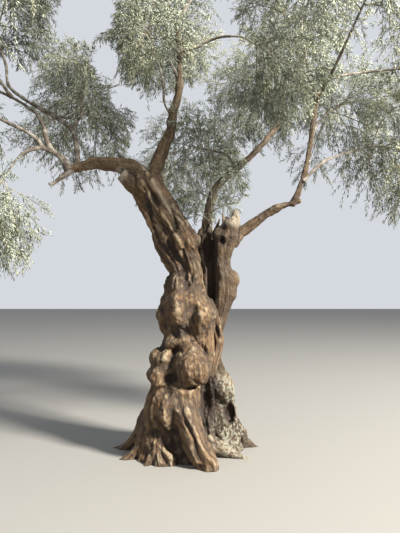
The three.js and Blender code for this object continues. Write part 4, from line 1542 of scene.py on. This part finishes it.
def trunk_halves() -> tuple[TrunkHalf, TrunkHalf]:
    """The leaning front stem, and the upright rear one with the wall of wood behind the cleft.

    Returns:
        The two halves.
    """
    front = TrunkHalf(
        name="leaning_stem",
        stem=Stem(
            FRONT_STEM,
            Flutes(count=7, depth=0.08, turn=-0.75, start=0.4, sinews=14, sinew_depth=0.04),
            FRONT_BURLS,
        ),
        strands=(
            *(Course(rows) for rows in (FRONT_LEG, FRONT_ROPE, RIGHT_ROPE, LOST_BOUGH, LOOSE_STRIP)),
            *(flare.course() for flare in FRONT_FLARES),
        ),
        pads=(Course(BURL_LEDGE),),
        boughs=("left_bough", "centre_bough"),
        strokes=FRONT_STROKES + BURL_WRINKLES,
        nodes=("trunk", "left_bough", "centre_bough"),
    )
    rear = TrunkHalf(
        name="upright_stem",
        stem=Stem(
            REAR_STEM,
            Flutes(count=5, depth=0.085, turn=0.9, start=1.1, sinews=10, sinew_depth=0.04),
            REAR_BURLS,
        ),
        strands=(
            *(Course(rows) for rows in (BACK_WALL, CLEFT_TONGUE)),
            *(splinter.course() for splinter in SPLINTERS),
            *(flare.course() for flare in REAR_FLARES),
        ),
        pads=(),
        boughs=("right_bough", "right_riser", "back_bough"),
        strokes=(),
        nodes=("trunk", "right_bough", "right_riser", "back_bough"),
    )
    return front, rear


# Limbs


class Region(Enum):
    """The parts of the crown, each joined into pieces of its own."""

    LEFT = "left"
    CENTRE = "centre"
    RIGHT = "right"
    BACK = "back"


@dataclass(frozen=True)
class ThinLimbs:
    """The thinner limbs of one part of the crown."""

    SIDES, STEP = 14, 0.02

    region: Region

    def build(self, lines: Lines, skip: Sequence[str], bark: Material) -> None:
        """Builds and dresses them as one piece.

        Args:
            lines: Every limb's course by its name.
            skip: The limbs that are in the trunk's skin already.
            bark: Their finish.
        """
        work = bmesh.new()
        own = [limb for limb in LIMBS if limb.name.startswith(self.region.value) and limb.name not in skip]
        for limb in own:
            add_tube(work, lines[limb.name], self.SIDES, self.STEP, limb.surface)
        close_ends(work)
        mesh = mesh_of(work, "limbs")
        mesh.shade_smooth()
        piece = placed(f"{self.region.value}_limbs", mesh, [bark])
        dress(piece, [limb.name for limb in own])


# The crown


@dataclass(frozen=True)
class Mass:
    """A mass of foliage: the limb that carries it, and the middle and half sizes of its room."""

    name: str
    limb: str
    middle: Point
    half: Point


MASSES = {
    Region.LEFT: (
        Mass("foliage_left_low", "left_lower_limb", (-2.5, -0.36, 3.33), (0.84, 0.76, 0.72)),
        Mass("foliage_left_hanging", "left_arching_limb", (-1.83, -0.62, 2.42), (0.43, 0.43, 0.56)),
        Mass("foliage_left_outer", "left_upper_limb", (-2.72, 0.42, 4.08), (0.78, 0.82, 0.72)),
        Mass("foliage_left_crown", "left_inner_limb", (-1.98, 0.48, 4.98), (0.82, 0.82, 0.7)),
        Mass("foliage_left_middle", "left_middle_limb", (-1.08, 0.16, 3.93), (0.56, 0.6, 0.48)),
        Mass("foliage_left_front", "left_front_limb", (-1.78, -1.58, 4.25), (0.86, 0.9, 0.78)),
        Mass("foliage_left_back", "left_back_limb", (-1.56, 1.85, 4.05), (0.88, 0.88, 0.8)),
    ),
    Region.CENTRE: (
        Mass("foliage_centre_left", "centre_left_limb", (-0.72, -0.06, 5.56), (0.8, 0.8, 0.72)),
        Mass("foliage_centre_right", "centre_right_limb", (0.44, 0.22, 5.7), (0.82, 0.82, 0.74)),
        Mass("foliage_centre_front", "centre_front_limb", (-0.33, -1.62, 4.98), (0.88, 0.92, 0.8)),
        Mass("foliage_centre_back", "centre_back_limb", (-0.44, 1.56, 4.98), (0.86, 0.86, 0.8)),
        Mass("foliage_centre_low", "centre_low_limb", (-0.43, -0.15, 4.15), (0.42, 0.46, 0.56)),
        Mass("foliage_middle_right", "centre_arching_limb", (0.76, -0.22, 3.95), (0.54, 0.58, 0.62)),
        Mass("foliage_cleft_shoots", "cleft", (0.19, 0.13, 3.08), (0.33, 0.3, 0.72)),
    ),
    Region.RIGHT: (
        Mass("foliage_right_top", "right_top_limb", (1.28, 0.26, 4.9), (0.78, 0.78, 0.76)),
        Mass("foliage_right_outer", "right_outer_limb", (2.42, 0.1, 4.08), (0.78, 0.76, 0.72)),
        Mass("foliage_right_low", "right_side_limb", (2.26, 0.46, 3.15), (0.74, 0.72, 0.64)),
        Mass("foliage_right_front", "right_front_limb", (1.6, -1.5, 4.35), (0.86, 0.9, 0.8)),
        Mass("foliage_right_back", "right_back_limb", (1.95, 1.48, 4.05), (0.84, 0.82, 0.8)),
    ),
    Region.BACK: (
        Mass("foliage_back_right", "back_right_limb", (0.9, 2.05, 4.48), (0.84, 0.86, 0.78)),
        Mass("foliage_back_left", "back_left_limb", (-0.02, 2.08, 3.65), (0.84, 0.82, 0.76)),
    ),
}


@dataclass(frozen=True)
class SkyGap:
    """An opening in the crown as seen from the front: its middle and half sizes, x and z, over the stems."""

    EDGE = 0.85  # where it ends, as a share of its half sizes, squared

    at: Pair
    half: Pair

    def spans(self, points: Array, ragged: Array) -> Array:
        """Which points lie in front of it, in it or behind it.

        Args:
            points: The places.
            ragged: How far its edge swells or sinks at each of them.

        Returns:
            True for each point that it keeps open.
        """
        eye = np.array(Viewpoint.place)
        ray = points - eye
        seen = eye + ray * (-eye[1] / ray[..., 1:2])  # where its line of sight crosses y = 0
        away = (seen[..., [0, 2]] - np.array(self.at)) / np.array(self.half)
        return (away**2).sum(-1) < self.EDGE + ragged


SKY_GAPS = (
    SkyGap((-1.08, 4.5), (0.36, 0.36)),
    SkyGap((-0.86, 3.97), (0.2, 0.24)),
    SkyGap((-0.64, 3.6), (0.22, 0.2)),
)
CLEFT = ((0.225, 0.12, 2.19), (0.0, 0.2, 1.0))  # where the shoots of the cleft spring up, and which way


@dataclass(frozen=True)
class Room:
    """The room that one mass keeps to itself: its egg, nearer to its own middle than to any other's."""

    MARGIN = 0.01
    EGG = 1.75  # how far past its half sizes the finest shoots reach, squared
    RAGGED = 0.9  # how far its outline swells and sinks, as a share of the egg
    RAGGED_SCALE = (1.7, 1.7, 1.7)

    middle: Array
    half: Array
    others: Array  # the middles of the other rooms
    wood: Array  # points along the limbs, each with its radius

    def holds(self, points: Array) -> Array:
        """Which points lie in it.

        Args:
            points: The places.

        Returns:
            True for each point that does.
        """
        offset = points - self.middle
        ragged = noise_at(points.reshape(-1, 3), self.RAGGED_SCALE, 2).reshape(points.shape[:-1])
        held = ((offset / self.half) ** 2).sum(-1) < self.EGG + self.RAGGED * ragged
        between = self.others - self.middle
        beyond = offset @ unit(between).T - length_of(between) / 2 + self.MARGIN
        low, high = np.array(CAD_BOX)
        boxed = ((points > low) & (points < high)).all(-1)
        open_to_sky = np.any([gap.spans(points, ragged) for gap in SKY_GAPS], axis=0)
        return held & boxed & ~open_to_sky & (beyond < 0).all(-1)

    def clears(self, points: Array, gap: float) -> Array:
        """Which points keep a gap from the limbs."""
        away = length_of(points[..., None, :] - self.wood[:, :3])
        return (away > self.wood[:, 3] + gap).all(-1)


@dataclass(frozen=True)
class TwigRule:
    """How the twigs of one order stand on the wood that carries them."""

    LEAN_SWAY, TURN_SWAY = 0.25, 0.45  # how far each may lean or turn off its place, in radians
    PLACE_SWAY = 0.6  # and how far along the wood, as a share of the space between two
    DROOP_SWAY = (0.6, 1.4)

    places: Pair  # the first and the last, as shares of what carries them
    lean: float  # radians off it
    lengths: Pair
    last: float  # the last one's length as a share of the first one's
    droop: float  # how far a tip sinks, as a share of the length
    radii: Pair
    sides: int
    rings: int
    gap: float  # kept from the limbs
    count: int = 0  # on each twig that carries them, or 0 where the room's size gives it


class Tone(Enum):
    """The kinds of spray, and how often each comes."""

    GREY = 0.5
    DEEP = 0.27
    OLIVE = 0.23


@dataclass(frozen=True)
class Twigs:
    """Twigs of one order, a row of each array to a twig. Each starts on its heading and sinks to its tip."""

    TRIES, TRY_SHARE = 5, 0.84  # how many lengths are tried, each this share of the one before
    TESTED = np.array((0.35, 0.7, 1.0))  # where along a twig its room is looked at

    root: Array
    heading: Array
    length: Array
    droop: Array
    tone: Array

    def at(self, share: Array) -> Array:
        """The points at some shares of every twig.

        Args:
            share: Where along each twig, from 0 to 1.

        Returns:
            The points, a row to a twig.
        """
        run = self.length[:, None] * share
        sink = self.droop[:, None] * run * share
        return self.root[:, None] + self.heading[:, None] * run[..., None] - sink[..., None] * UP

    def direction(self, share: Array) -> Array:
        """The directions at some shares of every twig."""
        return unit(self.heading[:, None] - (2 * self.droop[:, None] * share)[..., None] * UP)

    def only(self, chosen: Array) -> "Twigs":
        """Some of them."""
        return Twigs(*(getattr(self, part.name)[chosen] for part in fields(self)))

    def fitted(self, room: Room, rule: TwigRule) -> "Twigs":
        """Those that fit their room, each at the longest length tried.

        Args:
            room: Their room.
            rule: How they stand.

        Returns:
            The ones that fit.
        """
        length = np.zeros(len(self.length))
        for tries in range(self.TRIES):
            tried = replace(self, length=self.length * self.TRY_SHARE**tries)
            points = tried.at(self.TESTED)
            fits = room.holds(points[:, -1]) & room.clears(points, rule.gap).all(1)
            length = np.where((length == 0) & fits, tried.length, length)
        return replace(self, length=length).only(length > 0)


def sprout(base: Array, along: Array, place: Array, turn: Array, rule: TwigRule, chance: Chance) -> Twigs:
    """Twigs that leave the wood.

    Args:
        base: The points that they leave.
        along: Which way the wood runs there.
        place: How far along the wood each one stands, from 0 to 1.
        turn: How far round it each one stands, in radians.
        rule: How they stand.
        chance: What varies them.

    Returns:
        The twigs, not yet fitted to their room.
    """
    count = len(base)
    across, over = across_and_over(along)
    turn = turn + chance.uniform(-rule.TURN_SWAY, rule.TURN_SWAY, count)
    lean = rule.lean + chance.uniform(-rule.LEAN_SWAY, rule.LEAN_SWAY, count)
    heading = unit(turned(along, turned(across, over, turn), lean))
    length = chance.uniform(*rule.lengths, count) * lerp(1, rule.last, place)
    droop = rule.droop * chance.uniform(*rule.DROOP_SWAY, count)
    shares = [tone.value for tone in Tone]
    return Twigs(base, heading, length, droop, chance.choice(len(shares), count, p=shares))


def sprout_on(twigs: Twigs, rule: TwigRule, chance: Chance) -> Twigs:
    """The next order of twigs, along the sides of these.

    Args:
        twigs: What they stand on.
        rule: How they stand.
        chance: What varies them.

    Returns:
        The twigs, not yet fitted to their room.
    """
    count = len(twigs.length)
    step = np.arange(rule.count)
    place = (step + chance.uniform(0, rule.PLACE_SWAY, (count, rule.count))) / rule.count
    share = lerp(*rule.places, place)
    turn = step * GOLDEN_ANGLE + chance.uniform(0, 2 * math.pi, (count, 1))
    base, along = twigs.at(share).reshape(-1, 3), twigs.direction(share).reshape(-1, 3)
    return sprout(base, along, place.ravel(), turn.ravel(), rule, chance)


class Bundle:
    """Many small closed bodies, gathered as arrays and joined into one mesh."""

    def __init__(self) -> None:
        """Starts empty."""
        self.points: list[Array] = []
        self.corners: list[Array] = []
        self.sizes: list[Array] = []
        self.sides: list[Array] = []
        self.count = 0

    def add(self, bodies: Array, faces: Sequence[tuple[int, ...]], sides: Sequence[int]) -> None:
        """Adds bodies of one pattern.

        Args:
            bodies: The points of each body, a body to a row.
            faces: The corners of each face of the pattern.
            sides: Which material each face takes.
        """
        first = self.count + np.arange(len(bodies))[:, None] * bodies.shape[1]
        for face, side in zip(faces, sides):
            self.corners.append((first + np.array(face)).ravel())
            self.sizes.append(np.full(len(bodies), len(face)))
            self.sides.append(np.full(len(bodies), side))
        self.points.append(bodies.reshape(-1, 3))
        self.count += bodies.shape[0] * bodies.shape[1]

    def add_tubes(self, centres: Array, along: Array, radii: Array, sides: int) -> None:
        """Adds tapering tubes with closed ends.

        Args:
            centres: The points along each tube.
            along: The directions there.
            radii: The radius at each step along a tube.
            sides: How many faces run round it.
        """
        across = across_and_over(along[:, :1])[0]
        over = np.cross(along, across)
        turn = np.arange(sides) * 2 * math.pi / sides
        out = turned(across[:, :, None], over[:, :, None], turn)
        bodies = centres[:, :, None] + out * radii[:, None, None]
        rings = centres.shape[1]
        round_it = [(s, (s + 1) % sides) for s in range(sides)]
        faces = [
            (r * sides + a, r * sides + b, (r + 1) * sides + b, (r + 1) * sides + a)
            for r in range(rings - 1)
            for a, b in round_it
        ]
        faces.append(tuple(reversed(range(sides))))
        faces.append(tuple(range((rings - 1) * sides, rings * sides)))
        self.add(bodies.reshape(len(bodies), -1, 3), faces, [0] * len(faces))

    def mesh(self, name: str) -> Mesh:
        """One mesh of all that was gathered.

        Args:
            name: Its name.

        Returns:
            The new mesh.
        """
        corners, sizes = np.concatenate(self.corners), np.concatenate(self.sizes)
        mesh = bpy.data.meshes.new(name)
        mesh.vertices.add(self.count)
        mesh.vertices.foreach_set("co", np.concatenate(self.points).astype(np.float32).ravel())
        mesh.loops.add(len(corners))
        mesh.loops.foreach_set("vertex_index", corners.astype(np.int32))
        mesh.polygons.add(len(sizes))
        mesh.polygons.foreach_set("loop_start", (np.cumsum(sizes) - sizes).astype(np.int32))
        mesh.polygons.foreach_set("material_index", np.concatenate(self.sides).astype(np.int32))
        mesh.update(calc_edges=True)
        return mesh


@dataclass(frozen=True)
class Leaf:
    """How leaves stand on a shoot, in opposite pairs, and their sizes in metres."""

    PAIRS = 8
    LENGTH, WIDTH, FOLD = 0.068, 0.0128, 0.002
    LEANS = (0.95, 0.45)  # radians off the shoot, at its foot and its tip
    SINK = 0.16  # how much it hangs
    LEAN_SWAY, TURN_SWAY, ROLL = 0.18, 0.3, 0.55  # how much they vary, in radians
    PLACE_SWAY, FOOT = (0.1, 0.9), 0.08  # where in its stretch of the shoot a pair stands, and the first
    SIZES, TAPER = (0.7, 1.25), (1.05, 0.75)  # how sizes vary, and how they change to the shoot's tip
    BROAD, CURL = 0.47, 0.07  # where a leaf is broadest, and how far its tip curls down
    # The corners are the foot, the tip and the two sides: the first two faces look up, the others down
    FACES = ((0, 2, 3), (1, 3, 2), (0, 1, 2), (1, 0, 3))
    SIDES = (0, 0, 1, 1)

    def on(self, shoots: Twigs, chance: Chance) -> Array:
        """The four corners of every leaf on some shoots.

        Args:
            shoots: What they stand on.
            chance: What varies them.

        Returns:
            The foot, tip and two sides of each leaf.
        """
        count = len(shoots.length)
        place = (np.arange(self.PAIRS) + chance.uniform(*self.PLACE_SWAY, (count, self.PAIRS))) / self.PAIRS
        place = np.repeat(lerp(self.FOOT, 1, place), 2, axis=1)
        pair = np.repeat(np.arange(self.PAIRS), 2)
        turn = pair * math.pi / 2 + np.tile((0, math.pi), self.PAIRS)
        turn = turn + chance.uniform(0, 2 * math.pi, (count, 1))
        root, along = shoots.at(place).reshape(-1, 3), shoots.direction(place).reshape(-1, 3)
        place = place.ravel()
        across, over = across_and_over(along)
        turn = turn.ravel() + chance.normal(0, self.TURN_SWAY, len(root))
        lean = lerp(*self.LEANS, place) + chance.normal(0, self.LEAN_SWAY, len(root))
        heading = unit(turned(along, turned(across, over, turn), lean) - self.SINK * UP)
        level = unit(np.cross(heading, UP) + TINY)
        top = np.cross(level, heading)
        roll = chance.normal(0, self.ROLL, len(root))
        top, level = turned(top, level, roll), turned(level, -top, roll)
        size = (chance.uniform(*self.SIZES, len(root)) * lerp(*self.TAPER, place))[:, None]
        length, width = self.LENGTH * size, self.WIDTH * np.sqrt(size)
        belly = root + heading * length * self.BROAD + top * self.FOLD
        tip = root + heading * length - top * length * self.CURL
        return np.stack([root, tip, belly + level * width / 2, belly - level * width / 2], axis=1)


@dataclass(frozen=True)
class Crown:
    """One part of the crown: in each mass a stem grows on from its limb, and carries twigs and leaves."""

    # How far a stem keeps its limb's direction, goes on past the middle, and starts inside the limb
    STEM_BEND, STEM_BEYOND, STEM_LEAD = 0.45, 0.3, 0.03
    STEM_RADII, STEM_SIDES, STEM_RINGS, STEM_ROWS = (0.011, 0.006), 8, 15, 7
    BRANCH_SPACING = 0.062  # of a mass's mean half size to one branch
    BRANCH_SWAY = 0.5
    WOOD_STEP = 0.06  # between the points along the limbs that twigs keep clear of
    CLOSE = 0.1  # wood nearer than this to a stem's foot carries it, and isn't kept clear of
    SEEDS = {Region.LEFT: 101, Region.CENTRE: 211, Region.RIGHT: 307, Region.BACK: 401}

    region: Region
    branch: TwigRule = TwigRule(
        places=(0.1, 1.0),
        lean=0.95,
        lengths=(0.85, 1.2),  # as shares of the room's mean half size
        last=0.75,
        droop=0.22,
        radii=(0.007, 0.0035),
        sides=6,
        rings=8,
        gap=0.03,
    )
    side: TwigRule = TwigRule(
        places=(0.15, 0.98),
        lean=0.85,
        lengths=(0.3, 0.58),
        last=0.7,
        droop=0.2,
        radii=(0.0035, 0.002),
        sides=4,
        rings=4,
        gap=0.02,
        count=8,
    )
    shoot: TwigRule = TwigRule(
        places=(0.16, 1.0),
        lean=0.68,
        lengths=(0.18, 0.34),
        last=0.8,
        droop=0.3,
        radii=(0.0018, 0.001),
        sides=3,
        rings=2,
        gap=0.01,
        count=6,
    )
    leaf: Leaf = Leaf()

    def _stem(self, mass: Mass, lines: Lines) -> Course:
        """The stem of a mass, from its limb's tip through the middle of its room and on.

        Args:
            mass: The mass.
            lines: Every limb's course by its name.

        Returns:
            The stem's course.
        """
        if mass.limb in lines:
            line = lines[mass.limb]
            start, heading = line.at(np.array([1.0]))[0], line.direction(np.array([1.0]))[0]
        else:
            start, heading = np.array(CLEFT[0]), unit(np.array(CLEFT[1]))
        middle = np.array(mass.middle)
        away = float(np.linalg.norm(middle - start))
        bend = start + heading * away * self.STEM_BEND
        end = middle + unit(middle - start) * mass.half[2] * self.STEM_BEYOND
        rows = []
        for share in np.linspace(0, 1, self.STEM_ROWS):
            point = start * (1 - share) ** 2 + bend * 2 * share * (1 - share) + end * share**2
            rows.append((*point, lerp(*self.STEM_RADII, share)))
        return Course([(*(start - heading * self.STEM_LEAD), self.STEM_RADII[0]), *rows])

    def _grow(self, mass: Mass, stem: Course, wood: Array, bundle: Bundle, chance: Chance) -> Twigs:
        """Grows one mass.

        Args:
            mass: Where it fills its room.
            stem: What it grows on.
            wood: Points along the limbs, each with its radius.
            bundle: Gathers its twigs.
            chance: What varies them.

        Returns:
            Its leafy shoots.
        """
        foot = stem.at(np.array([0.0]))[0]
        middles = [other.middle for group in MASSES.values() for other in group if other is not mass]
        nearby = wood[length_of(wood[:, :3] - foot) > self.CLOSE]
        room = Room(np.array(mass.middle), np.array(mass.half), np.array(middles), nearby)
        share = np.linspace(0, 1, self.STEM_RINGS + 1)
        along = stem.direction(share)[None]
        bundle.add_tubes(stem.at(share)[None], along, stem.radius(share), self.STEM_SIDES)

        reach = sum(mass.half) / 3
        count = round(reach / self.BRANCH_SPACING)
        step = np.arange(count)
        place = (step + chance.uniform(0, self.BRANCH_SWAY, count)) / count
        share = lerp(*self.branch.places, place)
        base, along, turn = stem.at(share), stem.direction(share), step * GOLDEN_ANGLE
        twigs = sprout(base, along, place, turn, self.branch, chance)
        twigs = replace(twigs, length=twigs.length * reach).fitted(room, self.branch)
        for rule, finer in ((self.branch, self.side), (self.side, self.shoot), (self.shoot, None)):
            share = np.linspace(0, 1, rule.rings + 1)
            bundle.add_tubes(twigs.at(share), twigs.direction(share), lerp(*rule.radii, share), rule.sides)
            if finer is None:
                break
            grown = sprout_on(twigs, finer, chance)
            if finer is self.shoot:
                grown = replace(grown, tone=np.repeat(twigs.tone, finer.count))
            twigs = grown.fitted(room, finer)
        return twigs

    def build(self, lines: Lines, bark: Material, leaves: dict[Tone, list[Material]]) -> None:
        """Builds this part's twigs and its leaves, a piece to each tone.

        Args:
            lines: Every limb's course by its name.
            bark: The twigs' finish.
            leaves: The finishes of the two sides of the leaves of each tone.
        """
        masses = MASSES[self.region]
        nodes = [mass.name for mass in masses]
        courses = (*lines.values(), Course(FRONT_STEM), Course(REAR_STEM))
        wood = np.vstack([np.column_stack(course.samples(self.WOOD_STEP)) for course in courses])
        twigs = Bundle()
        sprays = {tone: Bundle() for tone in Tone}
        for i, mass in enumerate(masses):
            chance = np.random.default_rng(self.SEEDS[self.region] + i)
            shoots = self._grow(mass, self._stem(mass, lines), wood, twigs, chance)
            for kind, tone in enumerate(Tone):
                some = shoots.only(shoots.tone == kind)
                sprays[tone].add(self.leaf.on(some, chance), self.leaf.FACES, self.leaf.SIDES)
        name = self.region.value
        dress(placed(f"{name}_twigs", twigs.mesh("twigs"), [bark]), nodes)
        for tone, spray in sprays.items():
            piece = placed(f"{name}_{tone.name.lower()}_leaves", spray.mesh("leaves"), leaves[tone])
            dress(piece, nodes)


def leaf_finishes() -> dict[Tone, list[Material]]:
    """Grey-green above and silvery below, a little different in each tone.

    Returns:
        The finishes above and below, by tone.
    """
    shades = {
        Tone.GREY: ((0.295, 0.325, 0.25, 1), (0.72, 0.73, 0.7, 1)),
        Tone.DEEP: ((0.14, 0.165, 0.11, 1), (0.5, 0.53, 0.48, 1)),
        Tone.OLIVE: ((0.375, 0.39, 0.27, 1), (0.75, 0.75, 0.69, 1)),
    }
    sides = (("top", 0.42), ("underside", 0.7))  # each with its roughness
    return {
        tone: [
            PlainFinish(f"{tone.name.lower()}_leaf_{side}", colour, roughness).make()
            for colour, (side, roughness) in zip(colours, sides)
        ]
        for tone, colours in shades.items()
    }


# The studio


@dataclass(frozen=True)
class Viewpoint:
    """Where the tree is seen from: eye height, in front of the leaning stem."""

    place: Point = (0.10, -5.70, 1.60)
    rise: float = 2.86  # degrees above level
    lens: float = 38.5

    def make(self) -> None:
        """Sets up the camera."""
        camera = bpy.data.cameras.new("camera")
        camera.lens = self.lens
        seat = linked("camera", camera)
        seat.location = self.place
        seat.rotation_euler = (math.radians(90 + self.rise), 0, 0)
        bpy.context.scene.camera = seat


@dataclass(frozen=True)
class SoftLight:
    """A square soft light."""

    name: str
    place: Point
    target: Point
    size: float
    watts: float
    colour: tuple[float, float, float]

    def make(self) -> None:
        """Hangs it, turned to what it lights."""
        light = bpy.data.lights.new(self.name, "AREA")
        light.size = self.size
        light.energy = self.watts
        light.color = self.colour
        seat = linked(self.name, light)
        seat.location = self.place
        toward = Vector(self.target) - Vector(self.place)
        seat.rotation_euler = toward.to_track_quat("-Z", "Y").to_euler()


@dataclass(frozen=True)
class Studio:
    """A pale floor, a pale sky and soft lights."""

    FLOOR_SIZE = 120.0
    SKY = (0.9, 0.94, 1.0, 1)
    SKY_STRENGTH = 0.74
    LIGHTS = (
        SoftLight("key", (15.0, -11.5, 14.0), (0, 0, 2.2), 3.4, 25000, (1.0, 0.945, 0.86)),
        SoftLight("fill", (-6.0, -5.0, 3.5), (0, 0, 2.2), 4.0, 60, (0.88, 0.94, 1.0)),
    )

    def _floor(self) -> None:
        """Lays the floor."""
        work = bmesh.new()
        bmesh.ops.create_grid(work, x_segments=1, y_segments=1, size=self.FLOOR_SIZE / 2)
        plain = PlainFinish("studio_floor", colour=(0.2, 0.196, 0.184, 1), roughness=0.9)
        placed("studio_floor", mesh_of(work, "floor"), [plain.make()])

    def make(self) -> None:
        """Sets up the floor, the sky and the lights."""
        self._floor()
        bpy.context.scene.view_settings.view_transform = "Standard"
        world = bpy.data.worlds.new("sky")
        world.use_nodes = True
        backdrop = world.node_tree.nodes["Background"]
        backdrop.inputs["Color"].default_value = self.SKY
        backdrop.inputs["Strength"].default_value = self.SKY_STRENGTH
        bpy.context.scene.world = world
        for light in self.LIGHTS:
            light.make()


def main() -> None:
    """Builds the tree and its studio."""
    logging.basicConfig(level=logging.INFO, format="%(message)s")
    Viewpoint().make()
    lines = limb_lines()
    front_bark = BarkFinish("front_bark").make()
    # A darker copy of the bark: painted shade on the rear stem
    rear_bark = BarkFinish(
        "rear_bark",
        ochre=(0.09, 0.052, 0.021, 1),
        tan=(0.085, 0.064, 0.038, 1),
        crest=(0.21, 0.175, 0.12, 1),
    ).make()
    limb_bark = TwigFinish("limb_bark", bark=(0.08, 0.064, 0.048, 1), patch=(0.23, 0.21, 0.18, 1)).make()
    twig_bark = TwigFinish("twig_bark", bark=(0.15, 0.135, 0.1, 1), patch=(0.28, 0.265, 0.2, 1)).make()
    skinned: list[str] = []
    for half, bark in zip(trunk_halves(), (front_bark, rear_bark)):
        half.build(lines, bark)
        skinned += half.boughs
    for region in Region:
        ThinLimbs(region).build(lines, skinned, limb_bark)
    leaves = leaf_finishes()
    for region in Region:
        Crown(region).build(lines, twig_bark, leaves)
    Studio().make()


if __name__ == "__main__":
    main()
